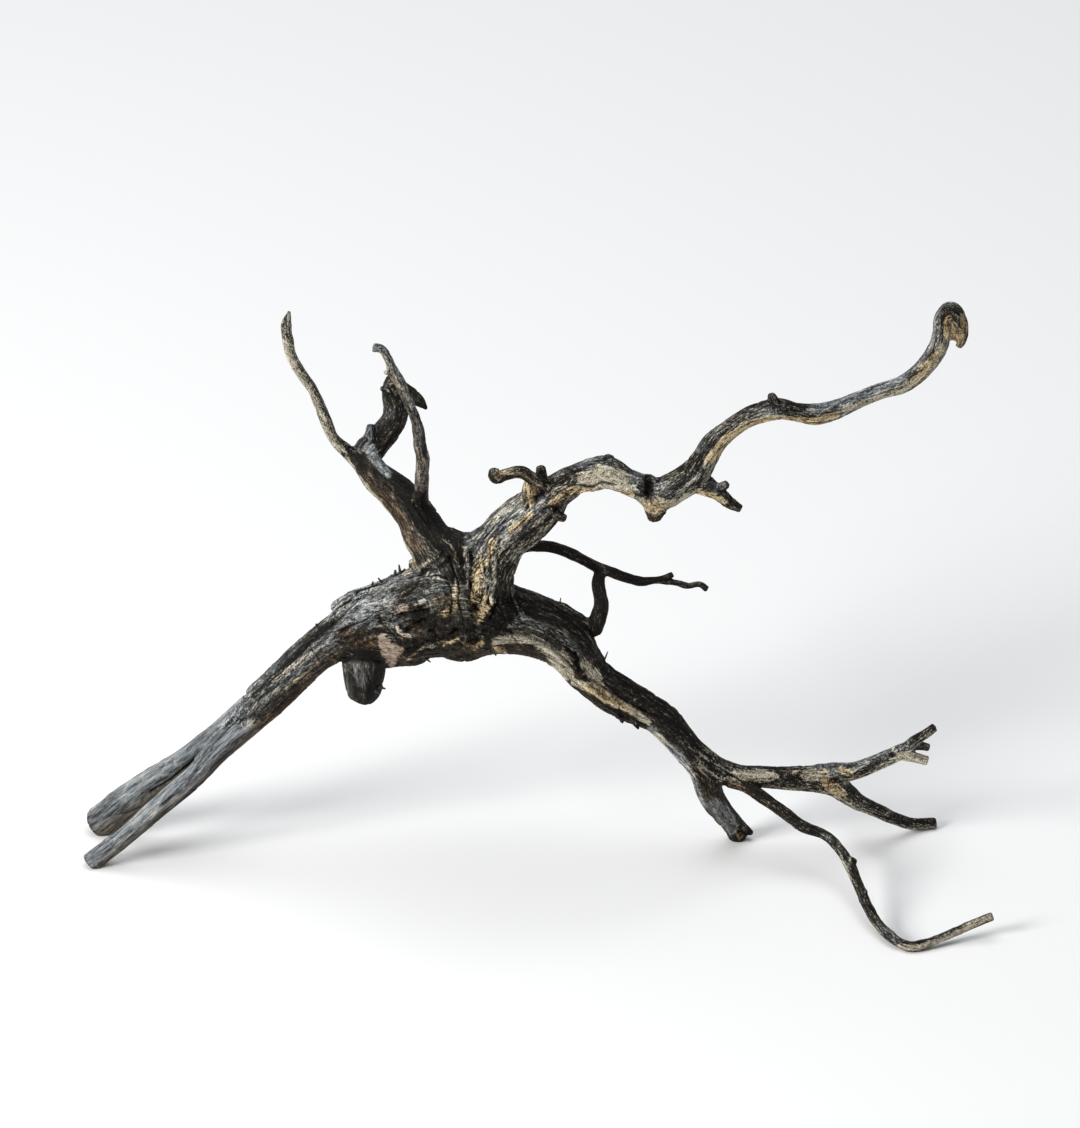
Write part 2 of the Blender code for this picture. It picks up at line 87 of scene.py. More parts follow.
# Station of a limb, in millimetres: right, up the sheet, back, half width
LIMBS = {
    "trunk": [
        (-153, 68.3, 10, 6.5), (-147, 73.3, 9.8, 8.2), (-137.5, 83.2, 9, 10.4),
        (-125, 94.5, 8, 10.4), (-112.5, 107, 7, 10.6), (-99.6, 115.4, 6, 11.8),
        (-85, 121.5, 5, 17.5), (-70, 124, 5, 22), (-55, 127.5, 5, 23.5), (-40, 129, 5, 24.5),
        (-25, 125.5, 5, 20), (-14, 123, 6, 16.5), (0, 119, 7, 15.2), (13.5, 110.8, 8, 14.2),
        (19.6, 102.5, 9, 11.6), (25.8, 95.2, 9.5, 10.5), (39, 85, 10, 10.2),
        (49.2, 79.5, 10.5, 9.7), (60, 73.6, 11, 8.9), (68.1, 65.1, 11.5, 7.9), (75.5, 57, 12, 7.8),
        (82, 49.5, 12, 8.2), (83.5, 45.5, 12, 7.5), (86, 35.5, 15, 6.6), (92.3, 25.7, 19.5, 5.8),
        (97.6, 19, 23, 5.5), (100.2, 13.3, 26, 4.9),
    ],
    "hub_underside": [
        (-79.5, 107.2, 2, 8.3), (-74, 107.2, 2, 8.4), (-68, 107.6, 1, 8.2), (-63, 107.2, 0, 7.6),
        (-55, 112.3, 0, 7), (-39.5, 110.5, 0, 8.2), (-27, 114, 1, 8.2), (-14, 115, 3, 8.6),
    ],
    "crotch_web": [
        (-55, 166.5, 16.5, 8), (-47.5, 162.5, 12, 8), (-40.5, 159.6, 8.5, 8), (-32.5, 159.5, 5, 8),
        (-25.5, 163.5, 3, 7.8),
    ],
    "back_leg": [
        (-137, 85, 11, 8), (-148, 76, 13, 7.5), (-162.5, 63.8, 16, 6.8), (-177.5, 52.5, 20, 6.8),
        (-195, 41, 24, 7.6), (-210, 30, 28, 8.4), (-218.5, 23.3, 32, 8.4),
        (-223.3, 20.2, 34.3, 7.9),
    ],
    "front_leg": [
        (-137, 80, 8, 7.4), (-148, 70, 8, 7.3), (-161, 58.7, 6, 6.6), (-175.5, 43, 4, 5.8),
        (-194, 27, 1, 5.3), (-205.5, 17, -0.5, 4.9), (-226.8, 0.2, -1.5, 5.3),
    ],
    "shoulder_slab": [(-101, 125.6, 9, 7), (-92, 130, 8, 8), (-82, 132, 7, 9)],
    "knob": [
        (-85, 112, 3, 12), (-87.5, 105, 2, 11.5), (-88.3, 95.5, 0, 10.2), (-88.8, 88, -1, 8.9),
        (-90.2, 83.9, -1, 6.6),
    ],
    "left_arm": [
        (-40, 132, 6, 20), (-42.7, 147, 9, 15.4), (-49, 155.5, 13, 13.4), (-55.4, 163.4, 17, 11.3),
        (-63.3, 177.3, 25, 9.4), (-71.8, 186.2, 32, 8.9), (-81.1, 194, 39, 8),
        (-88, 201.5, 44, 6.2), (-96.5, 207, 48, 3.6),
    ],
    "left_twig": [
        (-95, 206, 48, 3.5), (-102.5, 213, 48, 2.8), (-107.3, 223.2, 46, 3),
        (-111.3, 233.2, 43.5, 2.9), (-113.6, 238.2, 42, 3), (-117, 243, 40.5, 3.1),
        (-121, 249, 38, 3.1), (-124.2, 255, 36.5, 3), (-125.9, 263, 35, 3.2),
        (-126.6, 270, 34, 2.9), (-125, 277, 33, 1),
    ],
    "front_twig": [
        (-60, 179, 26, 4.3), (-59.3, 188, 17, 3.6), (-59, 195.5, 13, 3.5), (-58.5, 203.5, 10, 3.5),
        (-60, 210.5, 7, 3.3), (-60.5, 216.5, 6, 3.1), (-62, 222.5, 4, 2.6), (-64, 228.5, 2, 2.5),
        (-67.2, 235, 1, 2.6), (-69.3, 241, 0, 2.9), (-73, 247, -1, 3.1), (-75.5, 253, -2, 2.2),
        (-79, 258, -2.5, 2.3), (-83, 258.6, -3, 2.5),
    ],
    "curled_stub": [
        (-86, 206, 50, 7), (-81.5, 212, 55, 7), (-76, 218, 59, 6.8), (-72.5, 224, 62, 6.3),
        (-72, 230, 65, 6.2), (-73.5, 235.5, 67, 5.5), (-73.8, 241, 69, 4.7), (-72.3, 246.5, 70, 3),
    ],
    "curled_stub_lobe": [
        (-91, 206.5, 47, 3.4), (-88.5, 210.5, 49, 3.6), (-85.5, 213, 51, 3.6),
        (-84.8, 220.8, 53, 2.2),
    ],
    "curled_stub_spike": [
        (-71, 239.5, 66, 4.4), (-65, 235.5, 66, 4.5), (-60.5, 232.5, 65, 3.2),
        (-56.5, 228.5, 64, 1),
    ],
    "right_arm": [
        (-30.5, 136, 6, 17.7), (-26, 151, 4, 13.6), (-17.6, 165.2, 1, 12.2), (-9, 173, -2, 12.4),
        (-1.5, 179, -5, 11.3), (10, 188.5, -9, 8.4), (18.5, 193.5, -12, 7.5), (26, 195.5, -15, 8.5),
        (33, 196.8, -17, 8.4), (43.5, 192.2, -20, 6.5), (50.5, 189.5, -21, 6.7),
        (58.5, 186, -22, 8.4), (67.3, 189.4, -22, 7.8), (76.2, 195.5, -21, 7.6),
        (81.8, 203.6, -20, 6.3), (85.8, 210.4, -19, 5.9), (93.7, 217.5, -17, 5.2),
        (102, 223, -15, 5.1), (111, 226.5, -13, 5.4), (120, 227.8, -11, 5.4), (127, 226.6, -9, 4.8),
        (136.5, 225.5, -7, 6), (146.5, 227.6, -4, 5.1), (159, 233, -1, 4.3), (169, 237, 1, 4.3),
        (180.5, 240.5, 3, 4.5), (190.3, 247.8, 5, 4.7), (197.2, 257.2, 7, 4.8),
        (200, 265.6, 8, 4.8), (201.5, 273.2, 8.5, 5.4), (204.6, 276.7, 8.5, 4.9),
        (208.5, 272.8, 8, 3.9), (210.5, 267.5, 8, 2.9), (210, 262.3, 8, 2.3), (208.2, 259, 8, 1.8),
    ],
    "right_arm_tip_core": [
        (203, 267, 9.5, 3), (205.5, 270.5, 9.5, 5.2), (206.3, 264.5, 9.5, 2.9),
        (206.5, 262.8, 9.5, 2.4),
    ],
    "right_arm_flange": [
        (-6.5, 163, 6, 5), (1.8, 170.6, 2, 4.3), (7.6, 177.6, -2, 4), (12.6, 186, -8, 3.2),
    ],
    "broken_twig": [
        (1.5, 190.5, -12, 3.4), (-3, 193, -16, 3.4), (-10, 196.8, -19, 3.3), (-17.5, 195.4, -21, 3),
        (-21.7, 194.3, -22, 3.6), (-23.6, 197.8, -22, 2.6),
    ],
    "broken_twig_post": [(-4, 182, -9, 4), (-5.5, 187, -14, 4.1), (-4.5, 192.6, -16, 3.2)],
    "short_stub": [(0.5, 190, -9, 4), (0.5, 196, -10, 3), (0.5, 199.7, -10, 2.4)],
    "under_nub": [
        (4, 180, -13, 3), (8, 176, -18, 2.3), (11.2, 174.2, -19, 2.2), (12.8, 173.6, -19, 1.8),
    ],
    "ring_stub": [(53.5, 190.5, -20, 6.2), (54.2, 188.8, -26.5, 4.8)],
    "bulb_nub": [(57.5, 180, -22, 6), (57, 173.3, -22, 3.2)],
    "top_bump": [(33.5, 200, -17, 5), (34.8, 205, -17, 2)],
    "thorn_bump": [(117, 229, -12, 4), (114.8, 235.5, -12, 1.9)],
    "side_spur": [
        (79, 192, -21, 6), (84, 189, -22, 4.8), (88.8, 186.1, -23, 3.8), (95.3, 181, -25, 3.1),
        (100.3, 178.2, -26, 2.2),
    ],
    "side_spur_tip": [(88, 187.5, -23, 3), (93.3, 191, -24, 1.9)],
    "thin_twig": [
        (-18, 156.5, 10, 5), (-6.5, 160, 18, 3.1), (0, 160, 20, 2.9), (7.5, 159, 21, 2.9),
        (15, 156.3, 22, 2.8), (22.5, 152.6, 23, 2.8), (28.5, 149.5, 24, 2.8), (35, 147.2, 25, 2.6),
        (42.5, 144.4, 26, 2.7), (50, 142.4, 27, 2.7), (57.5, 143, 28, 2), (62.5, 144, 28.5, 1.7),
        (66.8, 145.9, 29, 1.7),
    ],
    "fine_twig": [
        (58, 142.8, 28, 1.9), (68.5, 141.6, 29, 1.5), (74.8, 140, 30, 1.6), (80, 140.8, 31, 1.5),
        (83.8, 138.3, 31.5, 1.6),
    ],
    "loop_twig": [
        (30.5, 148, 24, 3), (29.1, 141.5, 22, 3.3), (30.2, 135, 19, 3.5), (30.8, 130, 17, 3.9),
        (29.2, 124, 14, 4.6), (27.8, 117.5, 11, 4.2), (28, 115, 10, 3),
    ],
    "limb_ridge": [
        (-18, 132, 12, 7), (-2, 129.5, 14, 6), (8.5, 126.5, 15, 5.5), (15.5, 123.5, 15, 5),
        (25, 118, 13, 4.6),
    ],
    "foot_branch": [
        (80, 52, 12, 8), (91, 46.5, 12, 6.5), (100, 44.6, 12.5, 5.7), (112.5, 44.1, 13, 5.7),
        (120, 43.4, 13.3, 5.7), (130, 42.9, 13.7, 6.4), (140, 42.2, 14, 6.9),
        (147, 40.6, 14.5, 6.6), (154.3, 35.2, 16, 5.3), (159.7, 31.2, 18, 4.4),
        (164.9, 28.8, 20, 4), (170.2, 26.5, 22.5, 3.8), (180, 22.2, 27, 3.4),
        (187.5, 19.9, 31, 3.2), (194, 19.8, 34.5, 3.1), (200, 19.7, 36, 3.2),
    ],
    "upper_prong_root": [(140, 44, 14, 6), (150, 46.3, 14, 4.8)],
    "upper_prong": [
        (147, 45.5, 14, 5.4), (157.5, 46.6, 13.5, 4.6), (165, 49.2, 13, 4.4),
        (172.7, 52.3, 12, 4.2), (180.3, 55.8, 11, 4.2), (184.9, 59, 11, 3.2), (189, 62.7, 10, 2.7),
        (194.2, 65.8, 9, 2.5), (198.3, 68.9, 8, 2.4),
    ],
    "upper_prong_middle_tip": [(184, 59.5, 11, 2.5), (190, 59.8, 12, 2.4), (195.9, 58.6, 13, 2)],
    "upper_prong_lower_tip": [
        (179, 55.6, 10, 3), (185, 54.4, 8, 3), (190, 53.3, 7, 2.9), (195.4, 51.9, 6, 2.7),
    ],
    "trailing_twig": [
        (96, 43, 10, 5), (103.2, 39.6, 8, 3.5), (112.8, 33, 4, 3), (123.2, 25.7, -1, 3.1),
        (133.6, 18.4, -7, 3), (143, 14.8, -10, 2.6), (150.2, 8, -17.5, 2.7),
        (155.4, -0.2, -28.5, 2.8), (160.2, -11, -43.5, 2.8), (164, -20, -56.5, 2.6),
        (168.6, -28.3, -67.5, 2.6), (176, -35.7, -78.5, 2.6), (182.5, -39.7, -84, 2.7),
        (187, -40.5, -85, 2.7), (192.5, -39.3, -83.5, 2.6), (199, -37, -81, 2.3),
        (205, -34.5, -77.5, 2.4), (212, -31.3, -75, 2.4), (219, -28.5, -72.5, 2.4),
        (227, -25.3, -71, 2.4),
    ],
    "cut_stub_tip": [(100, 20, 24, 3.5), (104.2, 16.6, 24, 2.4), (107.3, 15, 24, 1.3)],
}

# Limbs that only fill out a joint: their wood takes the grain of the limbs round it
FILLERS = {"crotch_web", "hub_underside", "right_arm_tip_core", "upper_prong_root"}

# Small growths on the front of the wood: right, up the sheet, how far their middle lies out of
# the wood, half width. A station beside the wood, or over wood that lies much deeper, keeps the
# depth of the one before it.
GROWTHS = {
    "nub": [
        (-70, 128.6, 1.2, 1.7), (-67, 129, 1.7, 1.9), (-63.5, 130, 1.4, 1.9),
        (-60, 131.4, 0.8, 1.8), (-56.5, 133, 0, 1.4),
    ],
    "knot_lip": [
        (-70.4, 121.5, 0.2, 0.9), (-71.2, 118.6, 0.6, 1.2), (-69, 115.8, 0.7, 1.3),
        (-65.5, 114.4, 0.5, 1.2), (-62, 114.8, 0, 0.9),
    ],
    "knot_brow": [(-68.5, 123.2, 0.2, 1), (-63.5, 123.8, 0.6, 1.2), (-57.5, 124.6, 0.2, 1)],
    "rootlet": [
        (-47.2, 163.8, 0.1, 0.7), (-45.5, 161, 0.5, 0.9), (-42.8, 157.7, 0.6, 1),
        (-41.3, 154, 0.5, 0.9), (-40, 150, 0, 0.7),
    ],
    "twisted_lump": [
        (-39, 161, 0.1, 1.2), (-36, 157.5, 0.5, 1.4), (-35.4, 153, 0.3, 1), (-36.4, 148, 0, 0.8),
    ],
    "gouge_left_rim": [
        (-34.5, 150, 0, 0.7), (-36, 140, 0.3, 0.9), (-35.3, 132, 0.3, 0.9), (-32.5, 126, 0, 0.8),
    ],
    "gouge_right_rim": [
        (-28.3, 150, 0, 0.7), (-27.8, 141, 0.3, 0.8), (-25.5, 135, 0.4, 1), (-24, 131.5, 0.4, 1),
        (-26, 127.5, 0.3, 0.9), (-30, 123, 0, 0.8),
    ],
    "gouge_inner_rim": [(-30, 138, 0, 0.7), (-28.5, 132, 0.3, 0.8), (-29.3, 127, 0, 0.8)],
    "knot_swirl": [
        (-37, 115.5, 0.1, 0.9), (-38, 111.5, 0.3, 1), (-34.5, 108.8, 0.3, 1), (-30, 109.5, 0.3, 1),
        (-28.2, 113.2, 0.3, 1), (-31, 116.6, 0.2, 0.9),
    ],
    "hub_vein": [(-59.5, 149.6, -0.2, 0.8), (-55, 152.2, 0.1, 0.9), (-50.5, 154.8, -0.1, 0.8)],
    "hub_vein_low": [(-57, 143.6, 0, 0.7), (-53, 143, 0.3, 0.8), (-49.5, 144, 0, 0.7)],
    "hub_vein_left": [
        (-66, 141, 0, 0.7), (-61, 139.5, 0.3, 0.9), (-55, 136.5, 0.2, 0.9), (-51, 132, 0, 0.8),
    ],
    "hub_fold": [
        (-50, 139, 0, 0.9), (-47.5, 133, 0.4, 1.2), (-46.5, 127, 0.3, 1.1), (-48, 121, 0, 0.9),
    ],
    "hub_fold_low": [
        (-54, 124, 0, 0.8), (-50, 120.5, 0.2, 1), (-44.5, 119.5, 0.2, 1), (-40, 121.5, 0, 0.8),
    ],
    "low_ridge": [
        (-67, 103.2, 0.1, 1), (-61.5, 106.5, 0.4, 1.2), (-56, 110.3, 0.5, 1.3), (-51, 109.8, 0, 1),
    ],
    "low_ridge_right": [
        (-49, 109.5, 0, 0.8), (-45, 111.5, 0.4, 1.1), (-40.5, 113.8, 0.2, 1), (-37, 114.5, 0, 0.8),
    ],
    "pale_bit": [(-22.8, 108.8, 0.1, 1.1), (-18.3, 107.7, 0.2, 1.3)],
    "squiggle": [
        (-16.7, 168, 0, 0.7), (-15.8, 165, 0.3, 0.8), (-17.6, 162.5, 0.3, 0.8),
        (-19, 160.5, 0, 0.7),
    ],
    "slab_edge": [
        (-106, 123, 0, 0.9), (-102, 128.5, 0.4, 1.1), (-97, 133.5, 0.4, 1), (-90, 138, 0, 0.9),
    ],
    "shoulder_vein": [
        (-103, 117, 0, 0.9), (-95, 121.5, 0.4, 1.1), (-86, 127.5, 0.3, 1), (-79, 130.5, 0, 0.9),
    ],
    "leg_thorn": [(-111, 118.6, 0, 1), (-112.6, 122, 0, 0.8)],
    "limb_splinter_left": [(39, 76, 0.5, 1.1), (41.8, 71.5, 0, 0.7)],
    "limb_splinter_right": [(46.5, 72.5, 0.5, 1.2), (49.6, 68.4, 0, 0.7)],
    "limb_fold": [
        (-22, 117, 0, 1), (-12, 120, 0.4, 1.3), (-1, 117.5, 0.5, 1.3), (8, 111.5, 0.4, 1.1),
        (15, 104.5, 0, 0.9),
    ],
    "limb_step": [(19, 92, 0, 1), (30, 85.5, 0.6, 1.3), (42, 79, 0.6, 1.3), (53, 72.5, 0, 1)],
    "twig_spur": [(155.5, 2.8, 0.3, 1.8), (159.2, 1.6, 0, 1)],
    "twig_bump": [(161.5, -12, 0.2, 1.7), (163.9, -14, 0, 1.1)],
    "front_twig_spur": [(-74, 246, 0.2, 1.6), (-77.8, 246.3, 0, 0.9)],
    "curl_spur": [(-77, 238, 0.2, 1.5), (-80, 239.4, 0, 0.9)],
    "arm_heel": [(-61, 150.5, -0.6, 2.4), (-65.2, 151, -0.6, 2.2)],
    "curl_rim": [(-77.8, 235.5, 0, 0.9), (-75.8, 237.2, 0.3, 0.9), (-73.8, 238, 0, 0.8)],
    "bulb_spur": [(59.5, 177.5, 0.3, 1.7), (62.6, 176, 0, 1)],
    "stub_splinter": [(97, 16, 0.3, 1.9), (98.8, 11.2, 0, 0.8)],
    "ring_rim": [(51.5, 194.5, 0, 1), (49.8, 190, 0.3, 1.2), (50.6, 184.5, 0, 1)],
    "tip_ridge": [(207.3, 276, 0, 0.9), (208.2, 270, 0.5, 1.1), (207.8, 263.5, 0.2, 0.9)],
}

# Thorns and hair roots, from their foot to their point, measured as the growths
THORNS = [
    [(-69.9, 146, 0, 0.9), (-70.6, 150.6, 0.3, 0.35)],
    [(-69.3, 146.6, 0, 0.7), (-67.6, 148.6, 0.3, 0.35)],
    [(-72.6, 145, 0, 0.9), (-72.4, 147.8, 0.3, 0.6)],
    [(-84, 140.4, 0, 0.6), (-83.6, 142.2, 0.2, 0.4)],
    [(-79.2, 141.8, 0, 0.6), (-81, 144, 0.3, 0.35)],
    [(-81, 89.5, 0, 0.9), (-77.4, 88.4, 0, 0.35)],
    [(-83, 87.5, 0, 0.8), (-80.6, 85.8, 0, 0.35)],
    [(9.5, 129, 0, 0.5), (10.4, 134, 0, 0.25)],
    [(32, 102, 0, 0.5), (34, 107, 0, 0.25)],
    [(-57, 103.5, 0, 0.6), (-54.8, 101.8, 0.4, 0.3)],
    [(-23.5, 108.5, 0, 0.6), (-22, 105, 0.4, 0.3)],
]

# How each limb looks: how blue-grey and how tan it is, how strongly its fibres show, and how
# rough its shape is. Limbs not named here have the usual look.
USUAL_LOOK = (0.2, 0.0, 1.0, 0.9)
LOOKS = {
    "trunk": (0.10, 0.0, 0.95, 0.75),
    "back_leg": (0.92, 0.0, 0.62, 0.25),
    "front_leg": (0.74, 0.0, 0.66, 0.3),
    "shoulder_slab": (0.45, 0.0, 1.0, 0.8),
    "left_arm": (-0.15, 0.0, 0.85, 0.6),
    "left_twig": (0.32, 0.5, 1.2, 1.0),
    "front_twig": (1.0, 0.0, 1.1, 0.9),
    "curled_stub": (0.0, 0.0, 0.8, 0.9),
    "curled_stub_lobe": (0.4, 0.0, 1.0, 1.0),
    "curled_stub_spike": (0.0, 0.0, 0.6, 0.7),
    "right_arm": (0.28, 0.30, 1.0, 0.7),
    "right_arm_flange": (-0.15, 0.0, 0.8, 0.8),
    "broken_twig": (0.0, 0.15, 1.2, 1.0),
    "short_stub": (0.0, 0.0, 1.0, 1.0),
    "thin_twig": (-0.3, 0.0, 0.8, 0.8),
    "fine_twig": (0.1, 0.1, 0.9, 0.8),
    "loop_twig": (-0.3, 0.0, 0.7, 0.8),
    "limb_ridge": (-0.25, 0.0, 0.8, 0.9),
    "knob": (0.10, 0.0, 0.65, 0.5),
    "foot_branch": (0.12, 0.30, 1.2, 0.9),
    "upper_prong": (0.42, 0.35, 1.1, 0.9),
    "upper_prong_lower_tip": (0.95, 0.2, 0.8, 0.7),
    "trailing_twig": (0.02, 0.12, 1.0, 0.9),
}

# Strokes that raise or cut the wood, seen from the front: height in millimetres, the darkness of
# painted shade in the cut, and places (right, up, half width)
CARVING = {
    "gouge": (-1.2, 0.0, [
        (-33.5, 156, 2), (-32, 150, 3), (-31.5, 143, 3.4), (-31.5, 136, 3.6), (-32, 130, 3),
        (-32.5, 126, 2),
    ]),
    "gouge_left_crack": (-1.6, 0.9, [
        (-34.6, 155, 0.6), (-35.2, 147, 0.7), (-35.2, 138, 0.8), (-34.4, 131, 0.7),
        (-33.5, 127, 0.6),
    ]),
    "gouge_hole": (-4.0, 1.0, [(-32, 130.3, 1.5), (-31.5, 128, 1.6)]),
    "knot_hole": (-3.2, 0.55, [(-65.8, 118, 1.8), (-62, 119.4, 3), (-58.2, 121.4, 2)]),
    "knot_hole_deep": (-1.5, 0.9, [(-61, 121, 1.2), (-57.5, 122, 1)]),
    "nub_shadow": (-2.4, 0.95, [
        (-70, 125.8, 0.9), (-66, 125.9, 1.2), (-61, 126.6, 1.2), (-56.5, 128, 0.9),
    ]),
    "leg_root_crack": (-1.2, 0.8, [
        (-81, 127, 0.5), (-79.5, 121.5, 0.8), (-76, 118, 0.7), (-71, 112.5, 0.6),
    ]),
    "knob_neck": (-1.2, 0.6, [
        (-97, 103.5, 1), (-92, 104.5, 1.2), (-86, 104.6, 1.2), (-80.5, 102.5, 1),
    ]),
    "shoulder_crack": (-1.8, 0.9, [
        (-105, 121, 0.6), (-99.5, 125.6, 0.9), (-95, 129.6, 0.7), (-90, 133.5, 0.6),
    ]),
    "shoulder_crack_high": (-1.4, 0.8, [(-104, 127, 0.4), (-98, 131, 0.6), (-91, 136.5, 0.5)]),
    "shoulder_split": (-1.0, 0.7, [
        (-106, 117, 0.5), (-99, 117.4, 0.7), (-94, 120.6, 0.5), (-88, 122.5, 0.7), (-82, 127, 0.5),
        (-76, 129, 0.5),
    ]),
    "hub_furrow": (-1.3, 0.75, [
        (-61, 145.6, 0.6), (-56.5, 148, 0.8), (-52, 148.2, 0.7), (-48, 151.6, 0.8),
        (-45, 152.5, 0.6),
    ]),
    "fork_furrow": (-1.5, 0.85, [
        (-45, 155, 0.6), (-43.4, 148, 0.8), (-41.3, 143.6, 0.7), (-40.4, 138, 0.9), (-41, 132, 0.7),
        (-39, 127, 0.6),
    ]),
    "swirl_furrow": (-1.2, 0.75, [
        (-48.5, 150, 0.5), (-46.6, 144, 0.7), (-44.6, 139, 0.6), (-43.8, 132, 0.7),
        (-44.8, 126, 0.6),
    ]),
    "neck_furrow": (-1.2, 0.6, [
        (-21, 156, 0.6), (-21.5, 148, 0.9), (-20, 140, 0.8), (-21.6, 131, 0.9), (-25, 124, 0.7),
    ]),
    "low_furrow": (-1.2, 0.7, [
        (-66, 108.5, 0.8), (-61, 109, 1), (-56, 112.6, 0.9), (-51, 114, 1), (-43, 116, 0.8),
    ]),
    "low_knot": (-1.2, 0.6, [(-34.2, 113, 1.4), (-32.4, 112.7, 1.4)]),
    "hub_pit_left": (-1.8, 0.9, [(-55, 117.5, 1.3), (-52.5, 116.6, 1)]),
    "hub_pit_right": (-1.8, 0.9, [(-44, 115.8, 1), (-41.6, 117.4, 1.2)]),
    "leg_seam": (-2.2, 0.9, [
        (-148, 77, 0.4), (-158, 67.5, 0.6), (-172, 54, 0.7), (-186, 42, 0.8), (-196, 36, 0.8),
    ]),
    "leg_seam_high": (-1.0, 0.5, [(-146, 79.5, 0.6), (-136, 87.5, 0.7), (-126, 93, 0.6)]),
    "leg_crack": (-1.2, 0.8, [
        (-118, 110.5, 0.5), (-113, 115, 0.7), (-108.5, 118, 0.5), (-104, 122, 0.6),
    ]),
    "leg_crack_low": (-1.0, 0.6, [
        (-153, 83, 0.4), (-146, 87, 0.6), (-138, 94.6, 0.5), (-130, 99, 0.4),
    ]),
    "leg_shelf": (1.0, 0.0, [(-142, 79, 2), (-131, 87.5, 2.6), (-121, 95, 2.6), (-112, 101.5, 2)]),
    "leg_under_step": (-0.9, 0.3, [(-140, 73.5, 1), (-129, 81.5, 1.3), (-118, 90, 1.2)]),
    "leg_hole": (-2.0, 1.0, [(-124.5, 97.5, 0.9)]),
    "limb_furrow": (-1.2, 0.7, [
        (-16, 118, 0.7), (-4, 114.5, 1), (5, 109.5, 0.9), (12, 103, 0.9), (17, 98, 0.8),
    ]),
    "limb_knot_gap": (-1.8, 0.9, [(18, 106, 0.9), (19.2, 101.6, 1.3), (20, 97.5, 0.9)]),
    "limb_step_shadow": (-1.2, 0.7, [(22, 95, 0.7), (34, 87.6, 0.9), (46, 81, 0.9), (55, 76, 0.7)]),
    "ring_hollow": (-2.4, 0.8, [(54, 192.5, 2.4), (54.4, 188, 3.2), (53.8, 183.8, 2.2)]),
    "tip_hollow": (-0.5, 0.0, [(204.3, 271, 1.2), (204.8, 266.5, 2), (204.6, 262.5, 1.6)]),
    "tip_hollow_right": (-0.7, 0.0, [(210.2, 273, 0.8), (210.4, 268, 1), (209.8, 263.5, 0.8)]),
    "tip_crack": (-1.0, 0.6, [(206.8, 274, 0.4), (206.9, 268, 0.5), (206.4, 262.5, 0.4)]),
    "arm_furrow": (-0.8, 0.6, [
        (-30, 160, 0.5), (-22, 168, 0.7), (-13, 177.4, 0.6), (-4, 184, 0.7), (3, 187, 0.5),
    ]),
    "arm_furrow_low": (-1.3, 0.7, [(-12, 160, 0.7), (-5, 166, 0.9), (2, 171, 0.9), (8, 178, 0.7)]),
    "left_arm_furrow": (-0.9, 0.5, [(-63, 175, 0.6), (-70, 185, 0.8), (-79, 193, 0.6)]),
    "left_arm_strip": (0.8, 0.0, [(-75.5, 196, 1), (-79.5, 201, 1.5), (-84.5, 207, 1.4)]),
    "stub_hollow": (-2.2, 0.9, [(100.6, 15.5, 1.5)]),
}

# Strokes that comb the grain along themselves, seen from the front: places (right, up, half width)
COMBING = [
    [(-25, 158, 5), (-28, 149, 7), (-30, 139, 8), (-31.5, 128, 6)],
    [(-42, 152, 4), (-41, 142, 5), (-40, 132, 5), (-35, 122, 5), (-27, 118, 5)],
    [(-18, 152, 5), (-17, 138, 6), (-14, 127, 6), (-6, 119, 6), (4, 114, 5)],
    [(-100, 108, 6), (-92, 103, 7), (-88, 92, 8)],
    [(-74, 128, 5), (-65, 130, 5), (-55, 132, 5)],
    [(-72, 121, 4), (-66, 117, 4), (-58, 119, 4), (-50, 124, 4)],
    [
        (-37, 115, 2.5), (-36, 109.5, 2.5), (-31, 108.5, 2.5), (-28.5, 112.5, 2.5),
        (-31, 116.5, 2.5), (-36, 117, 2.5),
    ],
    [(-44, 158, 4), (-50, 152, 5), (-60, 147, 6), (-72, 141, 6)],
    [(204, 274, 3), (205.5, 268, 4), (205.5, 261, 3)],
]

# Where the wood has rotted to crumbs, seen from the front: depth in millimetres, and places
CRUMBLING = [
    (1.0, [(-56, 117, 6), (-46, 118, 7), (-36, 115, 6), (-28, 117, 4)]),
    (0.7, [(-66, 110, 6), (-54, 112, 6)]),
    (0.7, [(-98, 112, 5), (-90, 114, 6), (-84, 120, 5)]),
    (0.5, [(-70, 135, 5), (-58, 138, 6)]),
    (0.6, [(-50, 134, 5), (-44, 130, 5)]),
    (0.5, [(-23, 130, 3), (-24, 124, 3)]),
    (0.6, [(30, 89, 3), (50, 77, 3)]),
    (0.6, [(-5, 184, 4), (3, 185, 4)]),
    (1.5, [(54, 192, 4), (54, 185, 4)]),
    (0.6, [(55, 180, 4), (58, 177, 4)]),
    (0.5, [(84, 188, 4), (95, 182, 4)]),
    (0.8, [(-21, 195, 4), (-24, 197, 3)]),
    (0.6, [(120, 44, 5), (150, 41, 6)]),
    (0.5, [(201, 277, 3), (208, 277, 3)]),
    (1.0, [(99, 18, 4), (101, 14, 4)]),
    (0.7, [(18, 103, 3), (20, 97, 3)]),
]
